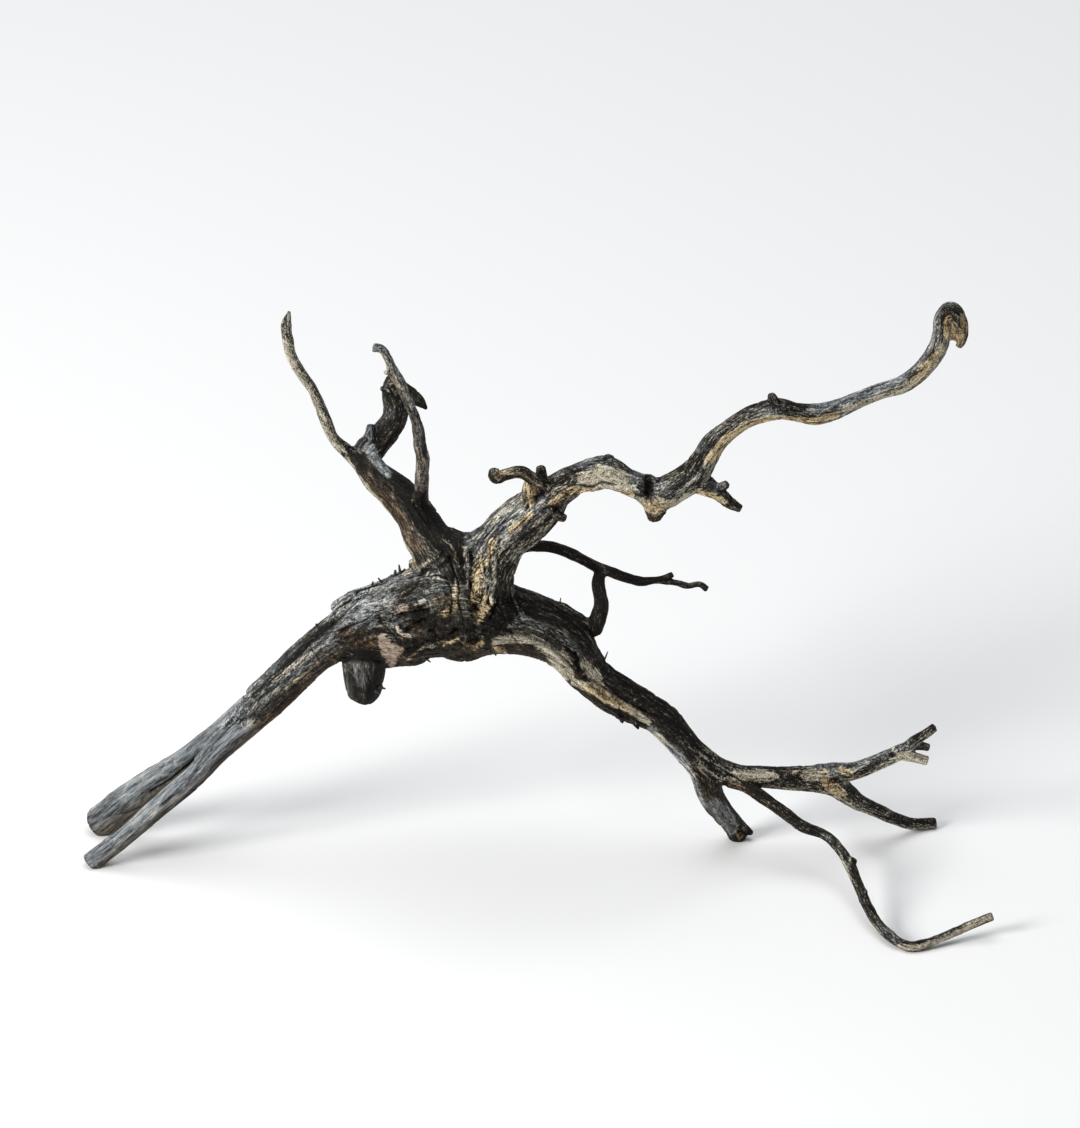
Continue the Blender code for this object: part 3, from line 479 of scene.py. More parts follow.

# Patches of each finish, seen from the front: strength, and places (right, up, half width).
# Ash is only a shade more, or less, blue-grey; on the knob and the lower limb it is a painted
# sheen. A strength above 1 gives a crisp edge.
PATCHES = {
    "ash_and_sheen": [
        (0.3, [
            (-147, 78, 11), (-135, 88, 12), (-120, 101, 12), (-106, 113, 12), (-93, 124, 12),
            (-80, 133, 11),
        ]),
        (0.2, [(-70, 143, 6), (-60, 147, 6), (-52, 148, 5)]),
        (0.1, [(-62, 134, 6), (-50, 140, 5)]),
        (-0.25, [(-22, 162, 5), (-24, 150, 5)]),
        (-0.3, [(6, 188, 6), (17, 196, 6)]),
        # Painted sheen on the knob
        (0.3, [(-91, 99, 3), (-89.5, 92, 3)]),
        (-0.25, [(-47, 160, 6), (-40, 156, 5)]),
        (0.3, [(-14, 124, 6), (4, 117, 7), (18, 107, 6)]),
        # Painted blue-grey highlight on the lit lower side of the lower limb
        (1.3, [(56, 67, 3.5), (64, 58, 4.5), (71, 50, 5), (76, 40, 4.5), (80, 30, 4.5)]),
        (0.9, [(88, 30, 4.5), (93, 24, 5), (98, 18, 4.5)]),
        (0.1, [(-28, 163, 6), (-12, 176, 7)]),
        (1.1, [(-75.5, 195.5, 2.2), (-80.5, 201, 3), (-85.5, 208, 3.4)]),
        (-0.35, [(-44, 118, 8), (-56, 120, 7), (-34, 118, 6)]),
        (-0.3, [(84, 213, 4), (96, 223, 4), (110, 231, 4), (130, 231, 4)]),
        (-0.3, [(75, 201, 6), (66, 194, 5)]),
        (0.4, [(138, 230, 4), (150, 232, 4), (164, 237, 4), (180, 242, 4)]),
    ],
    "pale": [
        (0.5, [(-27.6, 141, 1), (-24.2, 132, 1.2), (-29.5, 123, 1.1)]),
        (1.1, [(-71.2, 120, 0.9), (-71.2, 118, 1.3), (-68.6, 115.6, 1.4), (-64.5, 114.6, 1.1)]),
        (0.5, [(-62, 130.6, 1.4), (-57, 133, 1.3)]),
        (1.0, [(-67.4, 146.3, 2), (-65, 147.2, 1.8)]),
        (0.5, [(-59.5, 149.6, 0.9), (-55, 152.2, 1.1), (-50.5, 154.8, 0.9)]),
        (0.45, [(-56.5, 143.4, 1), (-50, 143.6, 1)]),
        (0.4, [(-47.2, 163.5, 1.1), (-43, 158, 1.2), (-40.5, 150, 1.1)]),
        (0.3, [(-38, 159, 1.4), (-36.4, 152, 1.3), (-36.5, 142, 1.2), (-35.5, 131, 1.2)]),
        (0.5, [(-66, 103.8, 1), (-58, 109.4, 1.2), (-52, 110, 1)]),
        # Tan wood on the lower-left edge of the left arm, painted lighter as its lit edge
        (1.5, [
            (-62.6, 150, 1.6), (-65, 156, 2.2), (-70.6, 165, 2.3), (-77.2, 176, 2.9),
            (-86.3, 187, 2.6), (-93, 195, 2.6), (-97.5, 202, 2.6),
        ]),
        # Tan wood on the left side of the left twig, painted lighter as its lit side
        (1.1, [(-101, 208, 2), (-107, 219, 2), (-113, 232, 2), (-121, 246, 2.2), (-127, 258, 2.2)]),
        (0.7, [(-80, 256, 1.4), (-74, 247, 1.5), (-67.5, 236, 1.5), (-64, 229, 1.3)]),
        (0.95, [(-22, 112.5, 2.4), (-12, 114, 2.6), (-2, 112, 3), (6, 106, 3)]),
        (1.2, [(4.5, 107, 2.6), (9.5, 102.5, 4.6), (14, 96.5, 3.8)]),
        (1.3, [(17, 92, 1.8), (27, 88, 3.2), (36, 83, 3.2), (46, 77, 2.6), (54.5, 71.5, 1.8)]),
        (0.9, [(22, 101, 3), (27, 96, 4), (30, 91, 3)]),
        (0.8, [(58, 66, 1.8), (63, 61, 1.8)]),
        (1.6, [(21, 194, 3), (30, 194, 6.8), (38, 191.5, 6), (44, 187.5, 4)]),
        (1.2, [(52, 181, 3), (57.5, 180, 5), (63, 180, 3), (72, 182, 2)]),
        (0.8, [(70, 183, 2.4), (78, 186, 2.4)]),
        (0.95, [
            (152, 228, 2.2), (162, 231, 2.2), (180, 237.5, 2.4), (193, 247, 2.6), (200, 258, 2.4),
        ]),
        (0.8, [(205.4, 271, 0.9), (205.6, 266, 1), (205.4, 262, 0.9)]),
        (0.5, [(-134, 93, 1.8), (-124, 99, 2.2), (-114, 106.5, 1.6)]),
        (0.5, [(-147.5, 77.5, 2)]),
        (0.25, [(-170, 47, 1.6), (-190, 30, 1.4), (-210, 13, 1.6), (-222, 3, 2.4)]),
        (0.3, [(-205, 22.5, 1.6), (-214, 19, 2.2)]),
        (1.05, [(99, 44.5, 3), (108, 44.6, 4), (118, 44, 2.6)]),
        (0.85, [(134, 45, 3.6), (143, 44, 3.6)]),
        (1.0, [(153, 30.5, 1.8), (160, 27, 1.8), (168, 23.4, 1.5)]),
        (1.5, [(180, 55, 2.4), (195, 52, 2.8)]),
        (0.6, [(151, 4, 1.2), (156, -10, 1.2), (161, -23, 1.2), (170, -34, 1.2)]),
        (0.9, [
            (180, -41, 1.6), (190, -41, 1.8), (200, -37.5, 1.8), (212, -32, 2), (227, -25, 2.2),
        ]),
        (0.5, [(-24, 173, 2.2), (-12, 182, 2.2), (0, 190.5, 2)]),
    ],
    "gold": [
        (0.58, [
            (-30.5, 155.5, 1.8), (-31, 149, 3), (-31.3, 142, 3.4), (-32.3, 136, 3.6),
            (-33.3, 131, 3.2), (-31, 125, 2),
        ]),
        (0.7, [(-26.5, 135, 2.2), (-26.5, 130.5, 3), (-30, 123.5, 2.4)]),
        (0.75, [(-24, 162, 2.6), (-24.5, 157, 2.6), (-27, 151, 1.8)]),
        (0.55, [(-42, 138, 2.4), (-43, 130, 2.6), (-47, 126, 2.4)]),
        (0.55, [(-48, 110.5, 1.1), (-41, 113.7, 1.2)]),
        (0.6, [(-38, 112, 1.3), (-33, 108.8, 1.3), (-28.5, 112, 1.3)]),
        (0.9, [(-22.5, 108.8, 1.7), (-18, 107.6, 1.7)]),
        (0.65, [(22, 89.5, 2), (29, 86.5, 3), (37, 82, 3), (46, 77, 2.4)]),
        (0.8, [(6, 181, 2.4), (14, 187.5, 2.2), (30, 187, 1.8), (46, 185.4, 1.8)]),
        (0.9, [(-5, 181, 2.4), (-4, 186, 2.8), (-7, 190.5, 2)]),
        (0.6, [(-13, 196, 1.4), (-21, 196.5, 1.6)]),
        (0.6, [(53, 180, 2.4), (57.5, 178, 3.4), (64, 180, 2)]),
        (1.0, [(79, 186.5, 2.6), (86, 185, 2), (92, 182, 1.6)]),
        (0.85, [
            (84, 203, 3), (92, 212.5, 2.6), (103, 219.6, 2.6), (114, 223, 2.4), (128, 222.6, 2.2),
            (138, 222, 2.8), (147, 225, 2.4),
        ]),
        (0.6, [(186, 242, 3), (197, 255, 3)]),
        (2.4, [(203.2, 273, 1.8), (203.8, 267.5, 3.2), (205, 262, 3)]),
        (1.8, [(210.5, 273.5, 1.6), (210.8, 268, 2), (209.4, 262.5, 1.8)]),
        (0.45, [(-127, 88, 1.4), (-118, 96, 1.6), (-110, 103, 1.4)]),
        (0.8, [(128.5, 45.6, 1.8)]),
        (0.9, [(143.5, 46.2, 2)]),
        (1.4, [(152, 47.2, 2.2), (156, 45.4, 2.4)]),
        (1.5, [(144.5, 41, 3), (148, 38, 3), (153, 34, 2)]),
        (0.7, [(100, 16, 2), (101, 13, 2)]),
        (0.6, [(-14, 168, 2.2), (-4, 176, 2.4)]),
    ],
    "pink": [
        (2.0, [
            (-79.3, 114.5, 1.7), (-77.3, 110.5, 3.2), (-75, 106.6, 4.6), (-74.3, 102.5, 2.4),
            (-74, 100, 1),
        ]),
        (2.0, [(-74, 108.5, 2.6), (-70, 108, 2)]),
        (1.2, [(-70.5, 128.6, 1.9), (-67, 129, 1.8)]),
    ],
    "rust": [
        (0.6, [(-50, 133, 5), (-43, 128, 4)]),
        (1.0, [(-31, 149, 3), (-31.3, 142, 3.4), (-32.3, 136, 3.6), (-33.3, 131, 3.2)]),
        (1.2, [(-65, 117.6, 2.4), (-60, 120.5, 2.6)]),
        (0.9, [(-97, 115, 5), (-90, 114, 6), (-84, 112, 4)]),
        (0.9, [(-61, 158, 4), (-68, 170, 5), (-77, 182, 5), (-86, 193, 4)]),
        (0.8, [(-4, 194, 3), (-20, 195, 4)]),
        (1.0, [(57.5, 174.2, 2.6)]),
        (0.6, [(-140, 70, 3), (-126, 80, 3.5), (-114, 92, 4), (-103, 101, 4)]),
        (1.5, [(98, 41.5, 3.4), (104, 38.5, 3.6), (112, 33, 3.6), (122, 27, 3.4)]),
        (1.2, [(25, 115.5, 2.6), (30, 117, 2.6)]),
    ],
    "soot_and_shade": [
        # Painted shade on the knob's top under the hub and on its shaded right side
        (1.0, [(-98, 104, 2.6), (-89, 105.5, 3.4), (-80, 104, 3)]),
        (1.2, [(-80.5, 99, 3), (-81.5, 92, 3.4), (-85, 86, 3)]),
        (0.6, [(-53, 122, 6), (-44, 120, 7), (-36, 121, 5)]),
        # Painted shade on the neck's shaded right side
        (1.4, [
            (-20, 158, 2.5), (-17.5, 150, 4.5), (-17.5, 138, 6.5), (-18.5, 127, 6.5), (-24, 118, 5),
        ]),
        (1.1, [(-44, 158, 8), (-54, 170, 8), (-63, 183, 6), (-72, 193, 4)]),
        # Painted shade on the front twig's right side, away from the lamp
        (0.7, [(-57.4, 205, 1.4), (-57.6, 218, 1.3), (-61.6, 231, 1.3)]),
        (1.0, [(-14, 131, 5), (2, 128, 6), (16, 121, 6), (27, 108, 5)]),
        (1.0, [(29, 100, 4), (44, 91, 5), (58, 81, 5), (68, 72, 5), (78, 60, 5)]),
        (1.2, [(-6, 163, 4), (4, 170, 5), (12, 179, 4), (16, 185, 3)]),
        (1.5, [(53.8, 193, 2.4), (54.2, 188.5, 3.2), (53.4, 185, 1.8)]),
        (0.9, [(72, 198, 4), (78, 203, 4)]),
        (1.3, [(89.5, 188, 0.9), (90.5, 184, 0.9)]),
        (1.3, [(95.5, 184, 0.8), (94.5, 179.5, 0.8)]),
        (1.1, [
            (200, 273, 1.6), (202, 276.5, 2.6), (206.5, 276.5, 2.4), (207.6, 271, 0.9),
            (207.8, 266, 0.8),
        ]),
        (0.8, [(-144, 84.5, 1.6), (-130, 98, 2), (-116, 113, 2.2), (-104, 122, 2)]),
        (0.9, [(122, 46, 3.4), (129, 44, 3)]),
        (0.8, [(148, 43, 2.2)]),
        (0.8, [(84, 49, 3), (88, 44, 3.5)]),
        (1.1, [(156, 38, 3), (164, 33, 3), (176, 27, 3.4), (190, 22.5, 3.6), (199, 22, 3.6)]),
        (1.0, [(188, 62, 2.4), (197, 69, 3)]),
        (1.3, [(28.5, 147, 4), (30.5, 134, 5), (29.5, 124, 6), (28, 118, 4)]),
        (1.0, [(-4, 160, 4), (14, 156.5, 4), (30, 149, 4), (50, 142.5, 4)]),
        (0.9, [(156, 44, 3), (166, 47, 3)]),
        (0.75, [(104, 39.5, 3), (114, 32.5, 3), (124, 25.5, 3), (132, 20, 3)]),
    ],
}

# Knots on the front that the grain parts round: right, up the sheet, size
KNOTS = [
    (-30, 139, 5), (-62, 122, 4), (-64, 130.5, 3), (-33, 112.5, 3.5), (19, 102, 3),
    (57, 181, 4), (-148, 77, 2.5), (134, 44, 3), (33, 197, 3), (-124.5, 97.5, 1.5),
]

# Knots on the hidden side: how many, their sizes, and the least half width of the limb
BACK_KNOTS = 9
BACK_KNOT_SIZES = (1.8, 4)
BACK_KNOT_LIMB = 5

# Patches on the hidden side: finish, how many, and how strongly they cover. Then how far each
# reaches along the grain and across it, in millimetres
BACK_PATCHES = [("pale", 42, 0.8), ("gold", 14, 0.6), ("soot_and_shade", 26, 0.9)]
BACK_PATCH_LENGTHS = (7, 22)
BACK_PATCH_WIDTHS = (2, 4.5)

# Soft bumps that shape and mottle the wood: size in millimetres, and seed
BUMPS = {
    "twist": (34, 3),
    "small_twist": (11, 4),
    "flutes": (6.5, 11),
    "ridges": (2.1, 12),
    "lumps": (17, 13),
    "small_lumps": (8, 14),
    "rifts": (3.6, 15),
    "twig_lumps": (6, 16),
    "twig_dimples": (2.8, 17),
    "ragged": (1.7, 21),
    "crumbs": (4.2, 31),
    "small_crumbs": (2.1, 32),
    "fine_crumbs": (1.3, 33),
    "crumb_folds": (3.4, 34),
    "rot": (26, 35),
}

# How far each kind of bumps is drawn out along the grain, in steps each way
FLUTE_LENGTH = 22
RIDGE_LENGTH = 15
FIBRE_LENGTH = 7
RIFT_LENGTH = 14

# Thin strands that stand out, and gaps that split the wood: how many, their lengths in steps,
# and their half width in millimetres
STRANDS = (1300, (8, 24), 0.52)
GAPS = (340, (8, 30), 0.5)

# Half widths of a limb, in millimetres, over which each trait of thick limbs comes in
COMES_IN = {
    "fillets": (2.5, 7),
    "bulk": (3, 6),
    "strands": (7, 15),
    "gaps": (2.5, 8),
    "cracks": (2.5, 6),
    "rot": (4, 10),
}

# How high each kind of relief stands, in millimetres
LUMP_RISE = 0.42
FLUTE_RISE = 0.38
RIDGE_RISE = 0.22
FIBRE_RISE = 0.10
TWIG_LUMP_RISE = 0.20
TWIG_DIMPLE_RISE = 0.12
STRAND_RISE = 0.26
CRACK_DEPTH = 0.7
CRUMB_RISE = 2.0

# Rounds of smoothing that fill the forks between limbs, that leave only the fine relief out of
# the height, and that blend the looks of neighbouring limbs in front and behind
FORK_ROUNDS = 22
RELIEF_ROUNDS = 14
LOOK_ROUNDS = 40
BACK_LOOK_ROUNDS = 160

# Where the hidden side begins and ends, as how squarely the wood faces the viewer
HIDDEN_SIDE = (-0.45, -0.05)

# The half width of a limb, in millimetres, on which the relief has its full height, and the least
# and greatest share of that height on thinner and thicker limbs
USUAL_HALF_WIDTH = 9
RELIEF_LIMITS = (0.22, 1.25)

# Noise of the wood on all sides: waves to a metre along each axis, detail, roughness, distortion
PLACE_NOISE = {
    "grit": ((1250, 1250, 1250), 3, 0.7, 0.0),
    "crumbs": ((620, 620, 620), 4, 0.75, 0.0),
    "mottle": ((85, 85, 85), 4, 0.6, 0.0),
    "felt": ((760, 760, 760), 3, 0.7, 1.6),
}

# Noise drawn out along the grain: waves to a millimetre, twice across the grain and once along it,
# detail, roughness
GRAIN_NOISE = {
    "hairs": ((1.35, 1.35, 0.13), 2, 0.6),
    "chips": ((1.60, 1.60, 0.50), 2, 0.65),
    "bands": ((0.26, 0.26, 0.03), 2, 0.55),
    "splits": ((0.55, 0.55, 0.06), 3, 0.55),
}

# What colour each finish has from its darkest to its lightest tone: tone, and (red, green, blue)
WOODS = {
    "black": [
        (0.20, (0.0040, 0.0032, 0.0022)), (0.46, (0.0110, 0.0094, 0.0068)),
        (0.64, (0.0300, 0.0270, 0.0210)), (0.82, (0.0950, 0.0860, 0.0680)),
        (1.00, (0.3000, 0.2750, 0.2150)),
    ],
    "grey": [
        (0.10, (0.012, 0.011, 0.010)), (0.30, (0.060, 0.063, 0.066)),
        (0.52, (0.168, 0.186, 0.202)), (0.74, (0.320, 0.334, 0.335)),
        (1.00, (0.640, 0.620, 0.550)),
    ],
    "pale": [
        (0.10, (0.018, 0.014, 0.009)), (0.30, (0.120, 0.100, 0.068)),
        (0.50, (0.360, 0.320, 0.235)), (0.74, (0.590, 0.545, 0.430)),
        (1.00, (0.800, 0.760, 0.650)),
    ],
    "gold": [
        (0.10, (0.016, 0.010, 0.006)), (0.30, (0.120, 0.080, 0.038)),
        (0.50, (0.390, 0.280, 0.145)), (0.74, (0.650, 0.520, 0.310)),
        (1.00, (0.860, 0.780, 0.580)),
    ],
    "pink": [
        (0.10, (0.030, 0.022, 0.016)), (0.30, (0.130, 0.095, 0.070)),
        (0.50, (0.290, 0.222, 0.168)), (0.74, (0.440, 0.360, 0.285)),
        (1.00, (0.640, 0.560, 0.460)),
    ],
    "rust": [
        (0.15, (0.007, 0.005, 0.003)), (0.48, (0.040, 0.027, 0.017)),
        (0.72, (0.130, 0.092, 0.060)), (0.95, (0.400, 0.320, 0.230)),
    ],
}

# Colours that lie over all of them, and the surface
# Painted shade: the near-black of cracks and carved hollows
CRACK_SHADE_COLOUR = (0.007, 0.0055, 0.004)
GLINT_COLOUR = (0.60, 0.55, 0.44)
# Painted shade: the warm tint that darkens the undersides
UNDERSIDE_SHADE_TINT = (0.45, 0.36, 0.27)
WOOD_SPECULAR = 0.12
BUMP_STRENGTH = 0.8
BUMP_HEIGHT = 0.8 * MM

# The finishes that lie over the black and the grey, from the lowest up, and the wood of each
LAYERS = [("rust", "rust"), ("soot_and_shade", "black"), ("pale", "pale"), ("gold", "gold"), ("pink", "pink")]

# The thorns' place in the grain, and their looks
THORN_PLACE = 0.4
THORN_LOOK = 0.45

# The studio: the height the lamps aim at, the lamps (place, size, watts, colour), the light from
# all sides and the floor
MIDDLE_HEIGHT = 0.12
LAMPS = {
    "window": ((-2.0, -1.3, 1.25), 1.0, 70, (1.0, 0.99, 0.97)),
    "overhead": ((-0.2, 0.5, 2.6), 2.2, 33, (0.97, 0.985, 1.0)),
}
ROOM_COLOUR = (0.95, 0.97, 1.0, 1)
ROOM_STRENGTH = 0.27
FLOOR_COLOUR = (0.97, 0.97, 0.97, 1)
FLOOR_HALF_WIDTH = 20


def on_sheet(right, up, back):
    """The place of a point of the draft, in metres."""
    height = (up - back * math.sin(DRAFT_TILT)) / math.cos(DRAFT_TILT)
    return Vector((right - MIDDLE_RIGHT, back - MIDDLE_BACK, height)) * MM


def unit(vectors):
    return vectors / np.maximum(np.linalg.norm(vectors, axis=-1, keepdims=True), 1e-9)


def dots(first, second):
    return (first * second).sum(axis=-1)


def ease(low, high, values):
    """0 below low, 1 above high, and smooth between them."""
    share = np.clip((values - low) / (high - low), 0, 1)
    return share * share * (3 - 2 * share)


def placed(name, data):
    """A new object in the scene."""
    thing = bpy.data.objects.new(name, data)
    bpy.context.scene.collection.objects.link(thing)
    return thing


def applied(thing):
    """Gives the object the mesh that its modifiers make."""
    graph = bpy.context.evaluated_depsgraph_get()
    mesh = bpy.data.meshes.new_from_object(thing.evaluated_get(graph))
    thing.modifiers.clear()
    thing.data = mesh


def tubes(lines):
    """Round tubes as one mesh. A line is a list of (place, half width in millimetres)."""
    curve = bpy.data.curves.new("tubes", "CURVE")
    curve.dimensions = "3D"
    curve.twist_mode = "MINIMUM"
    curve.bevel_depth = MM
    curve.bevel_resolution = STEPS_ROUND
    curve.use_fill_caps = True
    for line in lines:
        spline = curve.splines.new("BEZIER")
        spline.bezier_points.add(len(line) - 1)
        spline.resolution_u = STEPS_ALONG
        for point, (place, half_width) in zip(spline.bezier_points, line):
            point.co = place
            point.radius = half_width
            point.handle_left_type = "AUTO"
            point.handle_right_type = "AUTO"
    drawn = placed("tubes", curve)
    mesh = bpy.data.meshes.new_from_object(drawn)
    bpy.data.objects.remove(drawn, do_unlink=True)
    return mesh


def ray_tree(mesh):
    """The mesh as a tree that rays can be cast on."""
    shape = bmesh.new()
    shape.from_mesh(mesh)
    tree = bvhtree.BVHTree.FromBMesh(shape)
    shape.free()
    return tree


def seated(tree, stations):
    """The line of a growth whose stations are measured from the front of the wood."""
    towards = Vector(TOWARDS_VIEWER)
    starts = [on_sheet(right, up, 0) + towards for right, up, _, _ in stations]
    depths = []
    for start in starts:
        hit = tree.ray_cast(start, -towards)[0]
        depths.append(None if hit is None else (hit - start).dot(towards))
    depth = next(found for found in depths if found is not None)
    line = []
    for start, found, (_, _, lift, half_width) in zip(starts, depths, stations):
        if found is not None and abs(found - depth) < LONGEST_STEP:
            depth = found
        line.append((start + towards * (depth + lift * MM), half_width))
    return line


def fused_limbs():
    """All limbs and growths as tubes, cut flat at the ground and fused to one closed skin."""
    lines = []
    for stations in LIMBS.values():
        lines.append([(on_sheet(right, up, back), width) for right, up, back, width in stations])
    tree = ray_tree(tubes(lines))
    lines += [seated(tree, stations) for stations in GROWTHS.values()]
    mesh = tubes(lines)

    bare = bmesh.new()
    bare.from_mesh(mesh)
    everything = bare.verts[:] + bare.edges[:] + bare.faces[:]
    ground = {"plane_co": (0, 0, 0), "plane_no": (0, 0, 1)}
    bmesh.ops.bisect_plane(bare, geom=everything, clear_inner=True, **ground)
    rims = [edge for edge in bare.edges if edge.is_boundary]
    bmesh.ops.holes_fill(bare, edges=rims, sides=0)
    bare.to_mesh(mesh)
    bare.free()

    wood = placed("driftwood_root_wood", mesh)
    fuse = wood.modifiers.new("fuse", "REMESH")
    fuse.mode = "VOXEL"
    fuse.voxel_size = FUSE_GRAIN
    applied(wood)
    return wood


def store(mesh, name, values):
    """Keeps one number, or one vector, for each vertex."""
    kind, field = ("FLOAT", "value") if values.ndim == 1 else ("FLOAT_VECTOR", "vector")
    attribute = mesh.attributes.new(name, kind, "POINT")
    attribute.data.foreach_set(field, values.astype(np.float32).ravel())


def thorns(wood):
    """Thorns and hair roots, seated in the finished skin."""
    tree = ray_tree(wood.data)
    lines = []
    for stations in THORNS:
        foot, point = seated(tree, stations)
        middle = ((foot[0] + point[0]) / 2, foot[1] * 0.6 + point[1] * 0.4)
        lines.append([foot, middle, point])
    mesh = tubes(lines)
    count = len(mesh.vertices)
    store(mesh, "grain", np.full((count, 3), THORN_PLACE))
    for name in ("sure", "streak_and_relief_shade", "bloom_and_lit_side", "contrast"):
        store(mesh, name, np.full(count, THORN_LOOK))
    mesh.materials.clear()
    mesh.materials.append(wood.data.materials[0])
    mesh.shade_smooth()
    return placed("driftwood_root_thorns", mesh)


class Skin:
    """The wood's surface as arrays: places in millimetres, ways out, and edges between them."""

    def __init__(self, wood):
        self.mesh = wood.data
        count = len(self.mesh.vertices)
        places = np.empty(count * 3, np.float32)
        self.mesh.vertices.foreach_get("co", places)
        self.at = places.reshape(-1, 3).astype(float) / MM
        edges = np.empty(len(self.mesh.edges) * 2, np.int32)
        self.mesh.edges.foreach_get("vertices", edges)
        self.edges = edges.reshape(-1, 2)
        self.links = np.bincount(self.edges.ravel(), minlength=count)
        self.turn_outwards()

    def turn_outwards(self):
        """Writes the places to the mesh and reads its normals again."""
        self.mesh.vertices.foreach_set("co", (self.at * MM).astype(np.float32).ravel())
        self.mesh.update()
        normals = np.empty(len(self.at) * 3, np.float32)
        self.mesh.vertices.foreach_get("normal", normals)
        self.out = normals.reshape(-1, 3).astype(float)

    def evened(self, values, share=0.5, passes=1):
        """The values, moved by share towards the mean of their neighbours. Shares may differ."""
        first, second = self.edges.T
        flat = values.reshape(len(values), -1)
        share = np.reshape(np.broadcast_to(share, len(values)), (-1, 1))
        for _ in range(passes):
            mean = np.empty_like(flat)
            for column in range(flat.shape[1]):
                total = np.bincount(first, flat[second, column], len(flat))
                total += np.bincount(second, flat[first, column], len(flat))
                mean[:, column] = total / self.links
            flat = flat + (mean - flat) * share
        return flat.reshape(values.shape)

    def bumps(self, name):
        """Soft random bumps from -1 to 1, as BUMPS gives them."""
        size, seed = BUMPS[name]
        places = self.at / size
        cell = np.floor(places).astype(np.int64)
        share = places - cell
        share = share * share * share * (share * (share * 6 - 15) + 10)
        total = np.zeros(len(places))
        for corner in itertools.product((0, 1), repeat=3):
            mixed = (cell + corner) @ HASH_PRIMES + seed * HASH_SEED_PRIME
            mixed = (mixed ^ (mixed >> 13)) * HASH_MIX_PRIME
            height = ((mixed ^ (mixed >> 16)) & 65535) / 32767.5 - 1
            total += height * np.prod(np.where(corner, share, 1 - share), axis=1)
        return total

    def sheet(self):
        """Where each point lies on the draft: right, and up."""
        right = self.at[:, 0] + MIDDLE_RIGHT
        back = self.at[:, 1] + MIDDLE_BACK
        up = self.at[:, 2] * math.cos(DRAFT_TILT) + back * math.sin(DRAFT_TILT)
        return np.stack((right, up), axis=1)

    def front_place(self, right, up):
        """The point of the skin that shows at a sheet place."""
        away = np.linalg.norm(self.sheet() - (right, up), axis=1)
        near = np.flatnonzero(away < max(1.0, away.min() * 1.01))
        return self.at[near[(self.at[near] @ TOWARDS_VIEWER).argmax()]]


class LimbLine:
    """The middle line of a limb, a point for each millimetre or less."""

    def __init__(self, stations):
        knots = np.array([on_sheet(*station[:3]) / MM for station in stations])
        widths = np.array([station[3] for station in stations], float)
        values = np.column_stack((knots, widths))
        values = np.vstack((2 * values[0] - values[1], values, 2 * values[-1] - values[-2]))
        pieces = []
        for before, start, end, after in zip(values, values[1:], values[2:], values[3:]):
            steps = max(2, int(np.linalg.norm(end[:3] - start[:3])))
            share = (np.arange(steps) / steps)[:, None]
            line = 2 * start + (end - before) * share
            line = line + (2 * before - 5 * start + 4 * end - after) * share**2
            line = line + (3 * start - before - 3 * end + after) * share**3
            pieces.append(line / 2)
        line = np.vstack((*pieces, values[-2:-1]))
        self.at, self.width = line[:, :3], line[:, 3]
        self.along = unit(np.gradient(self.at, axis=0))
        gaps = np.linalg.norm(np.diff(self.at, axis=0), axis=1)
        self.length = np.concatenate(([0], np.cumsum(gaps)))
        side = unit(np.cross(self.along[0], (0.3, 1, 0.2)))
        sides = []
        for along in self.along:
            side = unit(side - dots(side, along) * along)
            sides.append(side)
        self.side = np.array(sides)
        self.other_side = np.cross(self.along, self.side)

    def measure(self, points, reach):
        """Which points lie within reach of the limb, and how they lie.

        Gives their numbers, their nearest places on the line, how far they lie along and across
        from there, and how far outside the limb.
        """
        span = self.width.max() + reach
        low, high = self.at.min(axis=0) - span, self.at.max(axis=0) + span
        near = np.flatnonzero(((points > low) & (points < high)).all(axis=1))
        nearest = np.empty(len(near), int)
        for start in range(0, len(near), CHUNK):
            some = points[near[start : start + CHUNK]]
            square = (self.at**2).sum(axis=1) - 2 * some @ self.at.T
            nearest[start : start + CHUNK] = square.argmin(axis=1)
        offset = points[near] - self.at[nearest]
        advance = dots(offset, self.along[nearest])
        across = offset - advance[:, None] * self.along[nearest]
        end = (nearest == 0) | (nearest == len(self.at) - 1)
        distance = np.linalg.norm(np.where(end[:, None], offset, across), axis=1)
        gap = distance - self.width[nearest]
        keep = gap < reach
        return near[keep], nearest[keep], advance[keep], across[keep], gap[keep]


